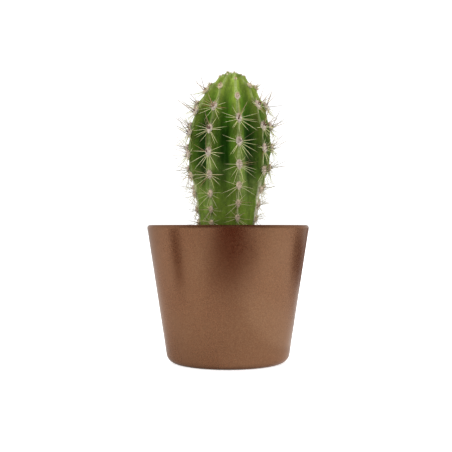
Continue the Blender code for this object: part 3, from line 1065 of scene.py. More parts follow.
    def rib_angle(self, rib: np.ndarray, height: np.ndarray) -> np.ndarray:
        """Directions of rib crests, from the front towards +X.

        Args:
            rib: rib numbers.
            height: heights above the ground.

        Returns:
            Angles in radians.
        """
        angle = self.first_rib + rib * (FULL_TURN / self.rib_count)
        above = height - self.rim
        fan = self.rib_fan * (1.0 - smooth_step(0.0, self.rib_fan_height, above))
        fan = fan - self.crown_draw * smooth_step(*self.crown_draw_belt, above)
        side = np.maximum(np.cos(angle - self.drift_centre), 0.0) ** self.drift_narrowness
        aside = self.drift * (1.0 - smooth_step(*self.drift_belt, above)) * side
        return angle + fan * np.sin(angle) + aside

    def groove(self, distance: np.ndarray, height: np.ndarray) -> np.ndarray:
        """Depth of the grooves between the ribs.

        Args:
            distance: distances from the crown.
            height: heights above the ground.

        Returns:
            The depths.
        """
        crown = smooth_step(*self.groove_crown_belt, distance)
        soil = smooth_step(*self.groove_soil_belt, height - self.rim)
        depth = self.groove_depth * smooth_step(0.0, self.crown_eye, distance)
        depth = depth * (self.groove_at_crown + (1.0 - self.groove_at_crown) * crown)
        return depth * (self.groove_at_soil + (1.0 - self.groove_at_soil) * soil)

    def areole_distances(self, rib: int) -> np.ndarray:
        """Distances from the crown of one rib's areoles, from the soil upwards.

        Args:
            rib: the rib's number.

        Returns:
            The distances.
        """
        soil_at = self.distance_at(self.rim - self.soil_below_rim)
        distance = self.distance_at(self.rim + self.first_areole_height[rib] * MM)
        found = []
        while distance > self.areole_nearest_crown:
            found.append(distance)
            grown = soil_at - distance
            spacing = min(
                self.spacing_at_soil + self.spacing_growth * grown,
                self.spacing_full + self.spacing_slow_growth * (grown - self.spacing_full_from),
                self.crown_crowding * distance + self.crown_least_spacing,
            )
            distance -= spacing * self.rib_spacing[rib]
        return np.array(found)

    def nearest_areole(self, rib: np.ndarray, distance: np.ndarray) -> tuple[np.ndarray, np.ndarray]:
        """How places on crests lie against the areoles of their ribs.

        Args:
            rib: rib numbers.
            distance: distances from the crown.

        Returns:
            The distance to the nearest areole, and the share of the way from the areole above to the next
            one down.
        """
        near = np.zeros_like(distance)
        phase = np.zeros_like(distance)
        for number, places in enumerate(self.areoles):
            mine = rib == number
            here = distance[mine]
            near[mine] = np.abs(here[:, None] - places[None, :]).min(axis=1)
            marks = np.sort(places)
            phase[mine] = np.interp(here, marks, np.arange(len(marks))) % 1.0
            phase[mine] = np.where(here >= marks[-1], 0.0, phase[mine])
        return near, phase

    def skin(self, rib: np.ndarray, share: np.ndarray, distance: np.ndarray) -> dict[str, np.ndarray]:
        """Points of the skin and what the finish needs to know about them.

        Args:
            rib: rib numbers.
            share: shares of the way to the next rib's crest.
            distance: distances from the crown.

        Returns:
            The points, and for each its distance across from the nearest crest in millimetres, its phase
            between two areoles, its depth in the groove from 0 to 1 and its height share on the stem.
        """
        radius, height, normal_r, normal_z = self.outline(distance)
        here = self.rib_angle(rib, height)
        beyond = self.rib_angle(rib + 1, height)
        angle = here + (beyond - here) * share
        rounded = np.abs(np.cos(np.pi * share)) ** self.groove_sharpness
        roof = 1.0 - np.abs(np.sin(np.pi * share))
        less = self.roof_at_crown - self.roof_below
        sharp = self.roof_at_crown - less * smooth_step(*self.roof_belt, distance)
        crest = rounded + (roof - rounded) * sharp
        second = share > 0.5
        nearest = np.where(second, rib + 1, rib) % self.rib_count
        offset = angle - np.where(second, beyond, here)
        near, phase = self.nearest_areole(nearest, distance)
        reach = self.swelling_reach * smooth_step(*self.swelling_crown_belt, distance)
        grows = smooth_step(*self.knob_grows, distance)
        knob = self.knob_rise * grows * (1.0 - smooth_step(*self.knob_fades, distance))
        bell = np.exp(-((near / reach) ** 2) - (radius * offset / reach) ** 2)
        swelling = (self.swelling_rise + knob) * bell
        rise = swelling - self.groove(distance, height) * (1.0 - crest)
        radius = radius + rise * normal_r
        height = height + rise * normal_z
        levels, shifts = zip(*self.bend)
        bend = np.interp((height - self.rim) / MM, levels, shifts) * MM
        points = np.stack([radius * np.sin(angle) + bend, -radius * np.cos(angle), height], axis=-1)
        top = self.samples[:, 1].max()
        return {
            "points": points,
            "across": np.abs(radius * offset) / MM,
            "phase": phase,
            "valley": 1.0 - crest,
            "fold": self.groove(distance, height) / self.groove_depth,
            "rise": (height - self.rim) / (top - self.rim),
        }

    def point(self, rib: int, distance: float) -> Vector:
        """The point of a rib's crest at a distance from the crown."""
        found = self.skin(np.array([rib]), np.array([0.0]), np.array([distance]))
        return Vector(found["points"][0])

    def areole_frame(self, rib: int, distance: float) -> Matrix:
        """Place and axes of an areole: sideways, up the rib and straight out.

        Args:
            rib: the rib's number.
            distance: from the crown.

        Returns:
            The frame as a matrix.
        """
        place = self.point(rib, distance)
        up = (self.point(rib, distance - self.swelling_rise) - place).normalized()
        angle = float(self.rib_angle(np.array([rib]), np.array([place.z]))[0])
        sideways = Vector((math.cos(angle), math.sin(angle), 0.0))
        out = sideways.cross(up).normalized()
        return Matrix.Translation(place) @ Matrix((sideways, up, out)).transposed().to_4x4()


@dataclass
class StemBody:
    """The ribbed stem, pulled from a finely divided sphere onto the skin."""

    form: StemForm
    columns_per_rib: int = 30
    rings: int = 250
    crown_finer: float = 1.25
    unevenness: float = 0.16 * MM
    unevenness_size: float = 7.0 * MM
    corky_ribs: tuple[float, ...] = (0.0, 1.0, 0.6, 0.5, 0.9, 0.6, 0.7, 0.4, 0.0)
    # painted light and shade: a brightness for each rib, blended across the grooves and faded out low on the
    # stem
    rib_painted_light: tuple[float, ...] = (1.04, 0.74, 0.80, 0.95, 0.9, 1.0, 0.9, 0.80, 0.82)
    painted_light_from: Belt = (0.15, 0.40)
    painted_light_turns: Belt = (0.3, 0.7)
    cork_fades: Belt = (0.2015, 0.31)
    cork_edge: Belt = (1.0, 2.0)

    def build(self, finish: Material) -> None:
        """Models the stem.

        Args:
            finish: its material.
        """
        columns = self.form.rib_count * self.columns_per_rib
        stem = begin(
            bpy.ops.mesh.primitive_uv_sphere_add, "cactus_stem", segments=columns, ring_count=self.rings,
            radius=1.0,
        )
        mesh = stem.data
        start = np.array([vertex.co for vertex in mesh.vertices])
        row = np.arccos(np.clip(start[:, 2], -1.0, 1.0)) / math.pi
        turn = np.arctan2(start[:, 1], start[:, 0]) / FULL_TURN
        column = np.rint(turn * columns).astype(int) % columns
        rib, step = np.divmod(column, self.columns_per_rib)
        distance = self.form.total * row**self.crown_finer
        skin = self.form.skin(rib, step / self.columns_per_rib, distance)
        points = skin.pop("points")
        centre = np.array([0.0, 0.0, 1.0]) * points
        outward = points - centre
        outward /= np.maximum(np.linalg.norm(outward, axis=1), 1e-6)[:, None]
        waves = np.array([noise.noise(Vector(point / self.unevenness_size)) for point in points])
        points = points + outward * (waves * self.unevenness)[:, None]
        mesh.vertices.foreach_set("co", points.astype(np.float32).ravel())
        second = step > self.columns_per_rib / 2
        nearest = np.where(second, rib + 1, rib) % self.form.rib_count
        low = 1.0 - smooth_step(*self.cork_fades, skin["rise"])
        on_crest = 1.0 - smooth_step(*self.cork_edge, skin["across"])
        skin["cork"] = np.array(self.corky_ribs)[nearest] * low * on_crest
        # each rib's painted light and shade, kept on the mesh as its tone
        rib_light_levels = np.array(self.rib_painted_light)
        own, next_one = rib_light_levels[rib], rib_light_levels[(rib + 1) % self.form.rib_count]
        tone = own + (next_one - own) * smooth_step(*self.painted_light_turns, step / self.columns_per_rib)
        skin["tone"] = 1.0 + (tone - 1.0) * smooth_step(*self.painted_light_from, skin["rise"])
        for name, values in skin.items():
            attribute = mesh.attributes.new(name, "FLOAT", "POINT")
            attribute.data.foreach_set("value", values.astype(np.float32))
        mesh.update()
        mesh.shade_smooth()
        mesh.materials.append(finish)
        publish(stem, ["cactus"])


def bent(template: Template, place: Matrix, length: float, width: float, curl: Vector) -> np.ndarray:
    """Stretches and bends a unit needle that stands on its base along +Z.

    Args:
        template: the needle, one long and one wide.
        place: where its base goes and how it is turned.
        length: its length.
        width: its base radius.
        curl: how far its tip is pulled aside, in its own X and Y.

    Returns:
        The bent copy's points.
    """
    points = template.points * np.array([width, width, length])
    share = template.points[:, 2:3]
    points = points + np.array([curl.x, curl.y, 0.0]) * share**2
    turned = np.array(place.to_3x3())
    return points @ turned.T + np.array(place.translation)


def lean_matrix(frame_at: Matrix, root: Vector, clock: float, lean: float) -> Matrix:
    """A frame whose Z leans from straight out towards a clock direction on the skin.

    Args:
        frame_at: the areole's frame.
        root: the base's place in that frame.
        clock: direction on the skin, from straight up the rib, clockwise seen from outside, in radians.
        lean: from straight out, in radians.

    Returns:
        The frame.
    """
    aim = Vector((math.sin(lean) * math.sin(clock), math.sin(lean) * math.cos(clock), math.cos(lean)))
    turn = aim.to_track_quat("Z", "Y").to_matrix().to_4x4()
    return frame_at @ Matrix.Translation(root) @ turn


@dataclass(frozen=True)
class Scatter:
    """Ranges that a kind of spine is drawn from: lean in degrees, length and width as factors."""

    lean: Belt
    long: Belt
    thick: Belt


@dataclass(frozen=True)
class Areole:
    """One areole: where it is, how old it is from 0 at the crown, and how large its pad is."""

    rib: int
    distance: float
    frame: Matrix
    above_rim: float
    age: float
    pad: Vector
    bare: bool


@dataclass(frozen=True)
class SpineAim:
    """Where one spine points, and how long and thick it is."""

    clock: float
    lean: float
    long: float
    thick: float
    central: bool
    sprout: bool = False


@dataclass
class AreoleField:
    """The wool pads and the spines of every areole."""

    form: StemForm
    stem_height: float = 64.0 * MM
    pad_half: Vector = field(default_factory=lambda: Vector((1.32, 2.10, 0.90)) * MM)
    pad_segments: int = 16
    pad_rings: int = 10
    pad_narrows: float = 0.60
    pad_narrows_late: float = 1.2
    pad_flattens: float = 0.45
    pad_lumps: float = 0.16
    pad_lump_size: float = 1.7
    pad_lump_shift: float = 900.0
    pad_tint: Belt = (0.25, 0.6)
    pad_tint_belt: Belt = (-0.2, 0.9)
    new_pad_share: float = 0.30
    old_pad_share: float = 0.72
    young_pad_share: float = 0.85
    pad_grows: Belt = (4.0 * MM, 19.0 * MM)
    pad_wears: Belt = (28.0 * MM, 4.0 * MM)
    strands: int = 60
    strand_length: float = 1.25 * MM
    strand_radius: float = 0.04 * MM
    strand_sides: int = 3
    strand_tip: float = 0.3
    strand_cuts: int = 3
    strand_curl: float = 0.6
    strand_lean: Belt = (0.35, 1.15)
    strand_lean_varies: float = 0.4
    strand_turn: float = 0.9
    strand_sunk: float = 0.8
    strand_long: Belt = (0.5, 1.0)
    strand_tint: Belt = (0.55, 0.45)
    fewest_strands: float = 0.35
    flattest: float = 0.05
    spine_length: float = 8.7 * MM
    spine_radius: float = 0.105 * MM
    spine_sides: int = 6
    slim_cuts: int = 4
    bulbed_cuts: int = 9
    spine_tip: float = 0.12
    spine_fullness: float = 2.2
    spine_root: float = 0.55
    spine_sway: Belt = (0.04, 0.16)
    spine_sways_old: Belt = (0.55, 1.0)
    spine_grows: Belt = (9.0 * MM, 26.0 * MM)
    spine_wears: Belt = (30.0 * MM, 8.0 * MM)
    short_at_soil: float = 0.22
    short_at_soil_belt: Belt = (2.0 * MM, 24.0 * MM)
    short_at_crown: float = 0.80
    short_at_crown_belt: Belt = (46.0 * MM, 60.0 * MM)
    radial_lean: float = math.radians(76.0)
    radial_lean_young: float = 0.40
    radial_clocks: tuple[float, ...] = (82.0, 98.0, 115.0, 134.0, 156.0, 180.0)
    radial: Scatter = Scatter((-12.0, 8.0), (0.66, 1.12), (0.85, 1.2))
    radial_turn: float = 11.0
    lowest_clock: float = 170.0
    lowest_shorter: float = 0.8
    missing: Belt = (0.08, 0.27)
    upper_clock: Belt = (24.0, 66.0)
    upper_flatter: Belt = (0.7, 0.95)
    upper_long: Belt = (0.4, 0.75)
    upper_thick: float = 0.8
    upper_chance: float = 0.8
    central: Scatter = Scatter((12.0, 54.0), (0.7, 1.2), (1.05, 1.35))
    central_turn: float = 60.0
    central_slender: Belt = (0.65, 0.85)
    central_most: int = 3
    central_lost: float = 0.5
    central_across: Belt = (-0.55, 0.55)
    central_up: Belt = (-0.35, 0.6)
    central_sunk: float = 0.95
    thinner_worn: float = 0.28
    clear_of_soil: float = 1.3 * MM
    bare_to: tuple[float, ...] = (21.0, 10.5, 7.0, 7.0, 9.0, 7.0, 8.0, 7.0, 10.5)
    head_start: tuple[float, ...] = (0.0, 0.0, 3.0, 2.0, 0.0, 3.0, 1.0, 6.0, 0.0)
    head_start_fades: Belt = (20.0 * MM, 32.0 * MM)
    sprouts_from: float = 6.0 * MM
    sprouts_to: float = 34.0 * MM
    sprouts: int = 6
    sprouts_among_spines: int = 3
    sprout_lean: Belt = (0.05, 0.7)
    sprout_long: Belt = (0.35, 0.6)
    slender_from: float = 38.0 * MM
    bulb: float = 1.1
    bulb_share: float = 0.07
    tuft_hairs: int = 150
    tuft_radius: float = 2.2 * MM
    tuft_spread: float = 0.35 * MM
    tuft_sunk: float = 0.1 * MM
    tuft_thicker: float = 1.3
    tuft_curl: float = 0.4
    tuft_lean: float = 0.8
    tuft_long: Belt = (0.35, 0.65)
    tuft_tint: float = 0.6
    draw: random.Random = field(default_factory=lambda: random.Random(SEED))

    def needle(self, sides: int, tip: float, cuts: int, bulb: float = 0.0) -> Template:
        """Models a unit needle on its base along +Z.

        Args:
            sides: how many faces go round it.
            tip: its tip's radius, against 1 at the base.
            cuts: how many rings divide it.
            bulb: how much its foot is swollen.

        Returns:
            The needle.
        """
        obj = begin(
            bpy.ops.mesh.primitive_cone_add, vertices=sides, radius1=1.0, radius2=tip, depth=1.0,
            location=(0.0, 0.0, 0.5), end_fill_type="NGON",
        )
        bpy.ops.object.mode_set(mode="EDIT")
        bpy.ops.mesh.select_mode(type="EDGE")
        bpy.ops.mesh.select_all(action="DESELECT")
        shape = bmesh.from_edit_mesh(obj.data)
        for edge in shape.edges:
            edge.select_set(abs(edge.verts[0].co.z - edge.verts[1].co.z) > 0.5)
        bmesh.update_edit_mesh(obj.data)
        bpy.ops.mesh.subdivide(number_cuts=cuts)
        bpy.ops.object.mode_set(mode="OBJECT")
        for vertex in obj.data.vertices:
            fullness = 1.0 - tip
            straight = 1.0 - fullness * vertex.co.z
            full = 1.0 - fullness * vertex.co.z**self.spine_fullness
            foot = 1.0 + bulb * math.exp(-((vertex.co.z / self.bulb_share) ** 2))
            vertex.co.xy *= full * foot / straight
        return Template.taken_from(obj)

    def pad(self) -> Template:
        """Models a unit wool pad: a dome, broad above and drawn out to a point below.

        Returns:
            The pad.
        """
        obj = begin(
            bpy.ops.mesh.primitive_uv_sphere_add, segments=self.pad_segments, ring_count=self.pad_rings,
            radius=1.0,
        )
        for vertex in obj.data.vertices:
            across, up = self.pad_shape(max(0.0, -vertex.co.y))
            vertex.co.x *= across
            vertex.co.z *= up
        return Template.taken_from(obj)

    def pad_shape(self, below: float) -> tuple[float, float]:
        """Factors on a pad's width and height, at a share of the way down from its middle."""
        return 1.0 - self.pad_narrows * below**self.pad_narrows_late, 1.0 - self.pad_flattens * below

    def worn(self, distance: float, heights: tuple[float, float]) -> float:
        """How worn an areole is, from 0 at the first height above the soil to 1 at the second."""
        soil_at = self.form.distance_at(self.form.rim)
        return float(smooth_step(soil_at - heights[0], soil_at - heights[1], distance))

    def areole(self, rib: int, distance: float) -> Areole:
        """Works out one areole.

        Args:
            rib: its rib.
            distance: its distance from the crown.

        Returns:
            The areole.
        """
        at = self.form.areole_frame(rib, distance)
        above_rim = at.translation.z - self.form.rim
        grown = float(smooth_step(*self.pad_grows, distance))
        share = self.new_pad_share + (1.0 - self.new_pad_share) * grown
        pad = self.pad_half * (share - (1.0 - self.old_pad_share) * self.worn(distance, self.pad_wears))
        bare = distance < self.bare_to[rib] * MM
        return Areole(rib, distance, at, above_rim, 1.0 - above_rim / self.stem_height, pad, bare)

    def spine_scale(self, above_rim: float) -> float:
        """Factor on the length of spines: they are shorter near the soil and at the crown.

        Args:
            above_rim: the areole's height above the pot's rim.

        Returns:
            The factor.
        """
        grown = float(smooth_step(*self.short_at_soil_belt, above_rim))
        old = (1.0 - self.short_at_soil) + self.short_at_soil * grown
        return old * (1.0 - self.short_at_crown * float(smooth_step(*self.short_at_crown_belt, above_rim)))

    def curl(self, reach: float, length: float) -> Vector:
        """Draws how far a tip is pulled aside."""
        return Vector((self.draw.uniform(-reach, reach), self.draw.uniform(-reach, reach))) * length

    def raised(self, place: Matrix, length: float) -> Matrix:
        """Turns a spine up where its tip would reach the soil.

        Args:
            place: its frame.
            length: its length.

        Returns:
            The frame, turned if need be.
        """
        root = place.translation
        tip = root + place.to_3x3() @ Vector((0.0, 0.0, length))
        lowest = self.form.rim - self.form.soil_below_rim + self.clear_of_soil
        if tip.z >= lowest:
            return place
        tip.z = lowest
        turn = (tip - root).to_track_quat("Z", "Y").to_matrix().to_4x4()
        return Matrix.Translation(root) @ turn

    def sprout_aims(self, size: Vector, count: int) -> list[SpineAim]:
        """Draws the tips of the new spines that just show in the wool of a young areole.

        Args:
            size: half sizes of the pad.
            count: how many.

        Returns:
            The tips, with their lengths in metres.
        """
        draw = self.draw
        found = []
        for _ in range(count):
            clock, lean = draw.uniform(0.0, ANY_TURN), draw.uniform(*self.sprout_lean)
            found.append(SpineAim(clock, lean, size.y * draw.uniform(*self.sprout_long), 1.0, True, True))
        return found

    def aims(self, distance: float, ahead: float) -> list[SpineAim]:
        """Draws the spines of one areole.

        Args:
            distance: the areole's distance from the crown.
            ahead: how much farther down the areoles of its age are on other ribs.

        Returns:
            Its spines.
        """
        draw = self.draw
        grown = float(smooth_step(*self.spine_grows, distance + ahead))
        flat = self.radial_lean * (self.radial_lean_young + (1.0 - self.radial_lean_young) * grown)
        worn = self.worn(distance, self.spine_wears)
        lost, lost_worn = self.missing
        found = []
        for clock in self.radial_clocks if grown > 0.5 else self.radial_clocks[::2]:
            for side in (-1.0, 1.0) if clock < 180.0 else (1.0,):
                if draw.random() < lost + lost_worn * worn:
                    continue
                turn = math.radians(side * (clock + draw.uniform(-self.radial_turn, self.radial_turn)))
                lean = flat + math.radians(draw.uniform(*self.radial.lean))
                shorter = self.lowest_shorter if clock > self.lowest_clock else 1.0
                long = draw.uniform(*self.radial.long) * shorter
                thick = draw.uniform(*self.radial.thick) * (1.0 - self.thinner_worn * worn)
                found.append(SpineAim(turn, lean, long, thick, False))
        for side in (-1.0, 1.0):
            if draw.random() < self.upper_chance * grown:
                turn = math.radians(side * draw.uniform(*self.upper_clock))
                lean = flat * draw.uniform(*self.upper_flatter)
                found.append(SpineAim(turn, lean, draw.uniform(*self.upper_long), self.upper_thick, False))
        widths = self.central_slender if distance > self.slender_from else self.central.thick
        for _ in range(1 + round(self.central_most * grown * (1.0 - self.central_lost * worn))):
            turn = math.radians(draw.gauss(0.0, self.central_turn))
            lean = math.radians(draw.uniform(*self.central.lean))
            thick = draw.uniform(*widths)
            found.append(SpineAim(turn, lean, draw.uniform(*self.central.long), thick, True))
        return found

    def add_spines(self, spines: Swarm, slim: Template, bulbed: Template, areole: Areole) -> None:
        """Adds the spines of one areole.

        Args:
            spines: gathers them.
            slim: the unit outer spine.
            bulbed: the unit central spine, with a swollen foot.
            areole: the areole.
        """
        distance, size = areole.distance, areole.pad
        if distance < self.sprouts_from:
            return
        draw = self.draw
        fading = 1.0 - float(smooth_step(*self.head_start_fades, distance))
        ahead = self.head_start[areole.rib] * MM * fading
        base = self.spine_length * self.spine_scale(areole.above_rim - ahead)
        sway, sways_old = self.spine_sway
        sway += sways_old * float(smooth_step(*self.spine_sways_old, areole.age))
        tips = 0
        if distance < self.sprouts_to:
            tips = self.sprouts if areole.bare else self.sprouts_among_spines
        aims = self.sprout_aims(size, tips)
        if not areole.bare:
            aims += self.aims(distance, ahead)
        for aim in aims:
            needle = bulbed if aim.central else slim
            side, up = self.spine_root * math.sin(aim.clock), self.spine_root * math.cos(aim.clock)
            root = Vector((size.x * side, size.y * up, 0.0))
            if aim.central:
                side, up = draw.uniform(*self.central_across), draw.uniform(*self.central_up)
                dome = math.sqrt(1.0 - side * side - up * up)
                root = Vector((size.x * side, size.y * up, size.z * dome * self.central_sunk))
            length = aim.long if aim.sprout else base * aim.long
            place = self.raised(lean_matrix(areole.frame, root, aim.clock, aim.lean), length)
            points = bent(needle, place, length, self.spine_radius * aim.thick, self.curl(sway, length))
            spines.add(
                needle, points, along=needle.points[:, 2], tint=draw.random(), age=areole.age,
                central=aim.central, fresh=aim.sprout,
            )

    def add_wool(self, pads: Swarm, hairs: Swarm, pad: Template, strand: Template, areole: Areole) -> None:
        """Adds the pad of one areole and its hairs.

        Args:
            pads: gathers the pads.
            hairs: gathers the hairs.
            pad: the unit pad.
            strand: the unit hair.
            areole: the areole.
        """
        draw = self.draw
        at, age = areole.frame, areole.age
        size = areole.pad * (self.young_pad_share if areole.bare else 1.0)
        wide = size.x / self.pad_half.x
        shift = at.translation * self.pad_lump_shift
        lumps = np.array([noise.noise(Vector(p * self.pad_lump_size) + shift) for p in pad.points])
        local = pad.points * np.array(size) * (1.0 + self.pad_lumps * lumps)[:, None]
        points = local @ np.array(at.to_3x3()).T + np.array(at.translation)
        dull, brighter = self.pad_tint
        tint = dull + brighter * smooth_step(*self.pad_tint_belt, pad.points[:, 1])
        pads.add(pad, points, tint=tint, age=age)
        lean_inside, lean_more = self.strand_lean
        varies, turns = self.strand_lean_varies, self.strand_turn
        middle, upper = self.strand_tint
        for _ in range(round(self.strands * (self.fewest_strands + (1.0 - self.fewest_strands) * wide))):
            clock = draw.uniform(0.0, FULL_TURN)
            out = math.sqrt(draw.random())
            up = out * math.cos(clock)
            narrow, low = self.pad_shape(max(0.0, -math.cos(clock)) * out)
            dome = math.sqrt(max(self.flattest, 1.0 - out * out)) * low
            side = out * math.sin(clock) * narrow
            root = Vector((size.x * side, size.y * up, size.z * dome * self.strand_sunk))
            lean = lean_inside + lean_more * out + draw.uniform(-varies, varies)
            place = lean_matrix(at, root, clock + draw.uniform(-turns, turns), lean)
            length = self.strand_length * draw.uniform(*self.strand_long) * wide
            points = bent(strand, place, length, self.strand_radius, self.curl(self.strand_curl, length))
            hairs.add(strand, points, tint=draw.random() * (middle + upper * up), age=age)

    def add_tuft(self, hairs: Swarm, strand: Template) -> None:
        """Adds the short wool of the newest areoles, which lie close together in the middle of the crown.

        Args:
            hairs: gathers the hairs.
            strand: the unit hair.
        """
        draw = self.draw
        sunk = Vector((0.0, 0.0, -self.tuft_sunk))
        for _ in range(self.tuft_hairs):
            rib = draw.randrange(self.form.rib_count)
            place = self.form.point(rib, self.tuft_radius * math.sqrt(draw.random())) + sunk
            spot = Vector((draw.gauss(0.0, 1.0), draw.gauss(0.0, 1.0), 0.0)) * self.tuft_spread
            clock, lean = draw.uniform(0.0, FULL_TURN), draw.uniform(0.0, self.tuft_lean)
            turned = lean_matrix(Matrix.Translation(place), spot, clock, lean)
            length = self.strand_length * draw.uniform(*self.tuft_long)
            width = self.strand_radius * self.tuft_thicker
            points = bent(strand, turned, length, width, self.curl(self.tuft_curl, length))
            hairs.add(strand, points, tint=draw.uniform(0.0, self.tuft_tint), age=0.0)

    def build(self, horn: Material, felt: Material, hair: Material) -> None:
        """Models all pads, hairs and spines.

        Args:
            horn: the spines' material.
            felt: the pads' material.
            hair: the hairs' material.
        """
        slim = self.needle(self.spine_sides, self.spine_tip, self.slim_cuts)
        bulbed = self.needle(self.spine_sides, self.spine_tip, self.bulbed_cuts, self.bulb)
        strand = self.needle(self.strand_sides, self.strand_tip, self.strand_cuts)
        pad = self.pad()
        spines, pads, hairs = Swarm("spines"), Swarm("wool_pads"), Swarm("wool_hairs")
        for rib, distances in enumerate(self.form.areoles):
            for distance in distances:
                areole = self.areole(rib, float(distance))
                self.add_wool(pads, hairs, pad, strand, areole)
                self.add_spines(spines, slim, bulbed, areole)
        self.add_tuft(hairs, strand)
        for swarm, finish in ((spines, horn), (pads, felt), (hairs, hair)):
            publish(swarm.build(finish))


@dataclass(frozen=True)
class Litter:
    """How many loose grains of a kind there are, and their smallest and largest half size."""

    count: int
    smallest: float
    largest: float


GRAIN_SHAPES = {
    Grit.PEAT: (Vector((1.0, 0.9, 0.8)), 0.45),
    Grit.BARK: (Vector((1.35, 0.8, 0.45)), 0.5),
    Grit.PERLITE: (Vector((1.0, 0.95, 0.9)), 0.3),
}
LITTER = {
    Grit.PEAT: Litter(2400, 0.2 * MM, 0.62 * MM),
    Grit.BARK: Litter(240, 0.3 * MM, 0.7 * MM),
    Grit.PERLITE: Litter(80, 0.25 * MM, 0.6 * MM),
}


@dataclass
class SoilBed:
    """The soil that fills the pot: a crumbly top with a hole for the stem, and loose coarse parts on it."""

    pot: PotForm
    stem: StemForm
    below_rim: float = 2.6 * MM
    mound: float = 0.8 * MM
    mound_ring: Belt = (13.0 * MM, 26.0 * MM)
    gap: float = 0.15 * MM
    sides: int = 200
    ring_step: float = 0.5 * MM
    hole_radius: float = 11.3 * MM
    hole_depth: float = 15.5 * MM
    hole_narrows: float = 0.75
    hole_shift: float = -0.3 * MM
    hole_shift_reach: float = 8.0 * MM
    swells: tuple[float, ...] = (4.2 * MM, 0.55 * MM, 0.5, 2.3)
    crumbs: tuple[float, ...] = (0.9 * MM, 0.2 * MM, 0.6, 0.9 / 0.42)
    smooth_angle: float = math.radians(60.0)
    grain_count: int = 62
    grain_radius: Belt = (0.9 * MM, 1.9 * MM)
    grain_ring: Belt = (14.6 * MM, 28.8 * MM)
    grain_flatness: float = 0.75
    grain_turn: float = math.radians(137.5)
    grain_turn_varies: float = 0.2
    grains_below: float = 1.0 * MM
    grain_kinds: tuple[Grit, ...] = (Grit.PEAT, Grit.PEAT, Grit.BARK, Grit.PEAT)
    grain_lumps: float = 1.3
    grain_pits: float = 3.1
    grain_pit_share: float = 0.5
    grain_seeds: Belt = (-9.0, 9.0)
    coarse_fineness: int = 3
    coarse_shapes: int = 5
    small_fineness: int = 1
    small_shapes: int = 6
    loose_from_stem: float = 0.6 * MM
    loose_from_wall: float = 1.15
    mostly_small: float = 2.0
    loose_tilt: float = 0.35
    loose_lift: float = 0.3
    draw: random.Random = field(default_factory=lambda: random.Random(SEED + 1))

    def level(self, radius: float) -> float:
        """Mean height of the soil at a radius."""
        away = float(smooth_step(*self.mound_ring, radius))
        return self.pot.height - self.below_rim + self.mound * (1.0 - away)

    def surface(self, x: float, y: float) -> float:
        """Height of the crumbly top at a place.

        Args:
            x: the place's X.
            y: the place's Y.

        Returns:
            The height.
        """
        place = Vector((x, y, 0.0))
        height = self.level(math.hypot(x, y))
        for size, relief, finer_share, finer in (self.swells, self.crumbs):
            height += relief * (noise.noise(place / size) + finer_share * noise.noise(place / size * finer))
        return height

    def build_bed(self, finish: Material) -> None:
        """Models the plug of soil.

        Args:
            finish: its material.
        """
        top = self.pot.height - self.below_rim
        edge = self.pot.wall_line(top, self.pot.wall + self.gap)
        low = self.pot.floor_top + self.gap
        foot = self.pot.wall_line(low, self.pot.wall + self.gap) - self.pot.floor_round
        bed = begin(
            bpy.ops.mesh.primitive_cone_add, "soil_bed", vertices=self.sides, radius1=foot, radius2=edge,
            depth=top - low, location=(0.0, 0.0, (top + low) / 2.0), end_fill_type="NGON",
        )
        bpy.ops.object.mode_set(mode="EDIT")
        select_where("FACE", lambda v: v.co.z > top - NEAR)
        rings = round((edge - self.hole_radius) / self.ring_step)
        for _ in range(rings):
            bpy.ops.mesh.inset(thickness=(edge - self.hole_radius) / rings)
        depth = self.stem.rim - top + self.hole_depth
        bpy.ops.mesh.extrude_region_move(TRANSFORM_OT_translate={"value": (0.0, 0.0, -depth)})
        bpy.ops.transform.resize(value=(self.hole_narrows, self.hole_narrows, 1.0))
        bpy.ops.object.mode_set(mode="OBJECT")
        beyond = self.hole_radius + self.hole_shift_reach
        for vertex in bed.data.vertices:
            radius = vertex.co.to_2d().length
            if vertex.co.z > top - NEAR:
                vertex.co.x += self.hole_shift * (1.0 - float(smooth_step(self.hole_radius, beyond, radius)))
                if radius < edge - NEAR:
                    vertex.co.z = self.surface(vertex.co.x, vertex.co.y)
        bpy.ops.object.shade_smooth_by_angle(angle=self.smooth_angle)
        bed.data.materials.append(finish)
        publish(bed, ["soil"])

    def grain(self, kind: Grit, subdivisions: int) -> Template:
        """Models a unit grain.

        Args:
            kind: what it is made of.
            subdivisions: of the ball it starts as.

        Returns:
            The grain.
        """
        flatness, roughness = GRAIN_SHAPES[kind]
        obj = begin(bpy.ops.mesh.primitive_ico_sphere_add, subdivisions=subdivisions, radius=1.0)
        seed = Vector([self.draw.uniform(*self.grain_seeds) for _ in range(3)])
        for vertex in obj.data.vertices:
            pull = noise.noise(vertex.co * self.grain_lumps + seed)
            pull += self.grain_pit_share * noise.noise(vertex.co * self.grain_pits + seed)
            vertex.co *= 1.0 + roughness * pull
            vertex.co = Vector(a * b for a, b in zip(vertex.co, flatness))
        return Template.taken_from(obj)

    def coarse_places(self) -> list[tuple[float, float, float]]:
        """Sizes and places of the coarse grains, by the rule that the model's solid follows.

        Returns:
            For each grain its half size, its X and its Y.
        """
        draw = random.Random(SEED)
        inner, outer = self.grain_ring
        found = []
        for number in range(self.grain_count):
            size = draw.uniform(*self.grain_radius)
            share = (number + draw.random()) / self.grain_count
            radius = math.sqrt(inner**2 + (outer**2 - inner**2) * share)
            varied = draw.uniform(-self.grain_turn_varies, self.grain_turn_varies)
            angle = number * self.grain_turn + varied
            found.append((size, radius * math.cos(angle), radius * math.sin(angle)))
        return found

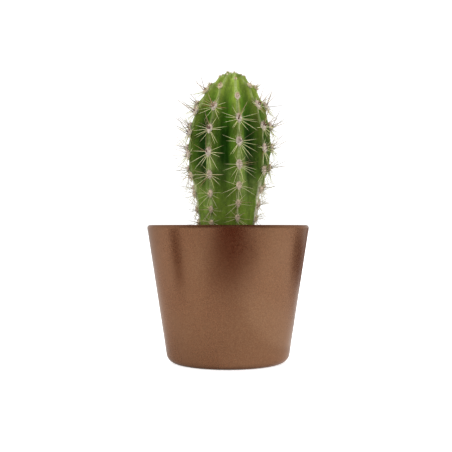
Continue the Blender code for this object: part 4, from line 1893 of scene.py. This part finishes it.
    def add_coarse(self, swarms: dict[Grit, Swarm], shapes: dict[Grit, list[Template]]) -> None:
        """Adds the coarse grains.

        Args:
            swarms: gathers the grains of each kind.
            shapes: unit grains of each kind.
        """
        rest = self.pot.height - self.below_rim - self.grains_below
        widest = self.pot.wall_line(rest, self.pot.wall + self.gap)
        for number, (size, x, y) in enumerate(self.coarse_places()):
            kind = self.grain_kinds[number % len(self.grain_kinds)]
            shape = self.draw.choice(shapes[kind])
            turn = Matrix.Rotation(self.draw.uniform(0.0, ANY_TURN), 3, "Z")
            points = (shape.points * size) @ np.array(turn).T * np.array([1.0, 1.0, self.grain_flatness])
            points = points + np.array([x, y, self.level(math.hypot(x, y))])
            away = np.hypot(points[:, 0], points[:, 1])
            points[:, :2] *= np.minimum(1.0, widest / away)[:, None]
            swarms[kind].add(shape, points)

    def add_loose(self, swarm: Swarm, shapes: Sequence[Template], litter: Litter) -> None:
        """Strews small grains over the soil, sunk a little into it.

        Args:
            swarm: gathers them.
            shapes: unit grains to copy.
            litter: how many there are, and their sizes.
        """
        draw = self.draw
        outer = self.pot.wall_line(self.pot.height - self.below_rim, self.pot.wall)
        for _ in range(litter.count):
            size = litter.smallest + (litter.largest - litter.smallest) * draw.random() ** self.mostly_small
            inner = self.hole_radius + self.loose_from_stem + size
            radius = math.sqrt(draw.uniform(inner**2, (outer - size * self.loose_from_wall) ** 2))
            angle = draw.uniform(0.0, FULL_TURN)
            x, y = radius * math.cos(angle), radius * math.sin(angle)
            turn = Matrix.Rotation(draw.uniform(0.0, ANY_TURN), 3, "Z")
            for axis in "XY":
                turn = turn @ Matrix.Rotation(draw.gauss(0.0, self.loose_tilt), 3, axis)
            shape = draw.choice(shapes)
            height = self.surface(x, y) + size * draw.uniform(0.0, self.loose_lift)
            swarm.add(shape, (shape.points * size) @ np.array(turn).T + np.array([x, y, height]))

    def build(self, finishes: dict[Grit, Material]) -> None:
        """Models the bed and its loose parts.

        Args:
            finishes: the material of each kind.
        """
        self.build_bed(finishes[Grit.PEAT])
        coarse = {
            kind: [self.grain(kind, self.coarse_fineness) for _ in range(self.coarse_shapes)]
            for kind in (Grit.PEAT, Grit.BARK)
        }
        small = {
            kind: [self.grain(kind, self.small_fineness) for _ in range(self.small_shapes)] for kind in Grit
        }
        swarms = {kind: Swarm(kind.value) for kind in Grit}
        self.add_coarse(swarms, coarse)
        for kind, litter in LITTER.items():
            self.add_loose(swarms[kind], small[kind], litter)
        for kind, swarm in swarms.items():
            publish(swarm.build(finishes[kind]))


@dataclass(frozen=True)
class Card:
    """An upright or flat card near the pot that only reflections see: a studio flag or reflector."""

    name: str
    place: tuple[float, float, float]
    size: tuple[float, float]
    colour: Colour
    strength: float = 1.0
    flat: bool = False

    def build(self) -> None:
        """Models the card, facing the pot, and keeps it out of all but reflections."""
        made, sketch, shader = blank_material(self.name)
        sketch.fill(
            shader,
            Base_Color=(0.0, 0.0, 0.0),
            Specular_IOR_Level=0.0,
            Emission_Color=self.colour,
            Emission_Strength=self.strength,
        )
        deselect()
        place = Vector(self.place)
        facing = 0.0 if self.flat else math.atan2(place.x, -place.y)
        bpy.ops.mesh.primitive_plane_add(
            size=1.0, location=place, rotation=(0.0 if self.flat else math.pi / 2.0, 0.0, facing)
        )
        card = bpy.context.object
        card.name = self.name
        card.scale = (*self.size, 1.0)
        settle(card)
        card.data.materials.append(made)
        for sight in ("camera", "diffuse", "shadow", "transmission"):
            setattr(card, f"visible_{sight}", False)


@dataclass(frozen=True)
class SoftBox:
    """A rectangular light that faces the plant, seen neither by the camera nor in reflections."""

    name: str
    place: tuple[float, float, float]
    size: tuple[float, float]
    glow: float
    aim: Colour = (0.0, 0.0, 70.0 * MM)

    def build(self) -> None:
        """Adds the light; a glow of 1 lights a surface as brightly as white shows."""
        data = bpy.data.lights.new(self.name, "AREA")
        data.shape = "RECTANGLE"
        data.size, data.size_y = self.size
        data.energy = self.glow * math.pi * self.size[0] * self.size[1]
        made = bpy.data.objects.new(self.name, data)
        made.location = self.place
        made.rotation_euler = (Vector(self.aim) - Vector(self.place)).to_track_quat("-Z", "Y").to_euler()
        made.visible_camera = False
        made.visible_glossy = False
        bpy.context.scene.collection.objects.link(made)


@dataclass
class Studio:
    """White table, soft boxes, cards and the camera at the photographed view."""

    camera_place: Vector = field(default_factory=lambda: Vector((-0.87, -380.0, 58.5)) * MM)
    lens: float = 70.0
    sensor: float = 36.0
    nearest_seen: float = 0.01
    floor_radius: float = 9.0
    floor_sides: int = 96
    floor_grain: float = 400.0
    floor_roughness: float = 0.6
    floor_shine: float = 0.2
    floor_tones: tuple[Colour, Colour] = ((0.95, 0.95, 0.95), (0.97, 0.97, 0.97))
    table_glow: float = 0.65
    foot_glow: Belt = (-0.020, 0.035, 0.15, 0.55)
    foot_glow_reach: Belt = (0.027, 0.050, 1.0, 0.0)
    room_belt: Belt = (-0.95, 0.10)
    room_levels: Belt = (0.55, 1.20)
    diffuse_levels: Belt = (0.72, 1.02)
    backdrop_level: float = 1.1
    duller_above: float = 0.18
    duller_above_belt: Belt = (0.05, 0.30)
    cards: tuple[Card, ...] = (
        Card("table_edge", (0.028, -0.3625, 0.002), (0.23, 0.475), (0.34, 0.13, 0.10), flat=True),
        Card("dark_front", (0.040, -0.59, 0.17), (0.36, 0.34), (0.34, 0.13, 0.10)),
        Card("dark_above", (0.0, -0.20, 0.55), (0.90, 0.80), (0.30, 0.18, 0.16), flat=True),
        Card("left_stand", (-0.107, -0.039, 0.029), (0.032, 0.037), (0.40, 0.22, 0.17)),
        Card("dark_right", (0.1975, 0.1225, 0.017), (0.15, 0.034), (0.36, 0.20, 0.16)),
        Card("dark_far_right", (0.095, 0.235, 0.034), (0.12, 0.056), (0.36, 0.20, 0.16)),
        Card("right_glow", (0.185, -0.0425, 0.003), (0.30, 0.175), (1.0, 1.05, 1.08), 1.60, flat=True),
    )
    soft_boxes: tuple[SoftBox, ...] = (
        SoftBox("left_box", (-0.68, -0.14, 0.36), (0.35, 0.50), 3.7),
        SoftBox("right_box", (0.68, -0.05, 0.35), (0.50, 0.60), 2.2),
        SoftBox("top_box", (0.05, 0.0, 0.80), (0.60, 0.60), 1.6),
    )

    def camera(self) -> None:
        """Adds the camera, level and square to the pot."""
        data = bpy.data.cameras.new("view")
        data.lens = self.lens
        data.sensor_width = self.sensor
        data.clip_start = self.nearest_seen
        made = bpy.data.objects.new("view", data)
        made.location = self.camera_place
        made.rotation_euler = (math.pi / 2.0, 0.0, 0.0)
        bpy.context.scene.collection.objects.link(made)
        bpy.context.scene.camera = made

    def floor(self) -> None:
        """Adds the pale table top, which shows white and glows faintly into the pot's foot."""
        made, sketch, shader = blank_material("white_table")
        rays = sketch.node("ShaderNodeLightPath").outputs
        away = sketch.node("ShaderNodeVectorMath", operation="LENGTH")
        sketch.put(away.inputs[0], sketch.place())
        under = sketch.times(
            sketch.span(away.outputs["Value"], *self.foot_glow_reach),
            sketch.span(sketch.axes(sketch.place())["X"], *self.foot_glow),
        )
        seen = sketch.times(rays["Is Camera Ray"], self.table_glow)
        sketch.fill(
            shader,
            Base_Color=sketch.mix(sketch.noise(self.floor_grain), *self.floor_tones),
            Roughness=self.floor_roughness,
            Specular_IOR_Level=self.floor_shine,
            Emission_Color=(1.0, 1.0, 1.0),
            Emission_Strength=sketch.math("MULTIPLY_ADD", rays["Is Glossy Ray"], under, seen),
        )
        table = begin(
            bpy.ops.mesh.primitive_circle_add, "table", vertices=self.floor_sides,
            radius=self.floor_radius, fill_type="NGON",
        )
        table.data.materials.append(made)

    def surroundings(self) -> None:
        """Fills the room with soft white light, weaker from the front, where the camera stands."""
        world = bpy.data.worlds.new("room")
        world.use_nodes = True
        bpy.context.scene.world = world
        sketch = Sketch(world.node_tree)
        axes = sketch.axes(sketch.node("ShaderNodeTexCoord").outputs["Generated"])
        rays = sketch.node("ShaderNodeLightPath").outputs
        level = sketch.span(axes["Y"], *self.room_belt, *self.room_levels)
        even = sketch.span(axes["Y"], *self.room_belt, *self.diffuse_levels)
        level = sketch.math("MULTIPLY_ADD", sketch.less(even, level), rays["Is Diffuse Ray"], level)
        above = sketch.times(rays["Is Glossy Ray"], sketch.span(axes["Z"], *self.duller_above_belt))
        level = sketch.times(level, sketch.less(1.0, sketch.times(above, self.duller_above)))
        seen = sketch.times(rays["Is Camera Ray"], self.backdrop_level)
        background = world.node_tree.nodes["Background"]
        sketch.fill(background, Color=(1.0, 1.0, 1.0), Strength=sketch.math("MAXIMUM", level, seen))

    def build(self) -> None:
        """Sets up the room, the lights and the camera."""
        bpy.context.scene.view_settings.view_transform = "Standard"
        self.camera()
        self.floor()
        self.surroundings()
        for thing in (*self.cards, *self.soft_boxes):
            thing.build()


def main() -> None:
    """Builds the plant and its studio."""
    logging.basicConfig(level=logging.INFO, format="%(message)s")
    effects = Effects(mottle_group(), speck_group())
    pot_form = PotForm()
    stem_form = StemForm()
    Studio().build()
    PotShell(pot_form).build(SatinCopper().material(effects))
    soils = {
        Grit.PEAT: SoilFinish((0.012, 0.007, 0.004), (0.060, 0.036, 0.020)),
        Grit.BARK: SoilFinish((0.050, 0.024, 0.012), (0.17, 0.09, 0.045), 0.8, 1100.0),
        Grit.PERLITE: SoilFinish((0.40, 0.38, 0.33), (0.66, 0.64, 0.59), 0.85, 1600.0, 0.1 * MM),
    }
    finishes = {kind: soil.material(kind.value, effects) for kind, soil in soils.items()}
    SoilBed(pot_form, stem_form).build(finishes)
    StemBody(stem_form).build(CactusSkin().material(effects))
    wool = WoolFinish()
    AreoleField(stem_form).build(
        SpineFinish().material(), wool.material("wool_felt", 0.3), wool.material("wool_hair", 0.0)
    )


if __name__ == "__main__":
    main()
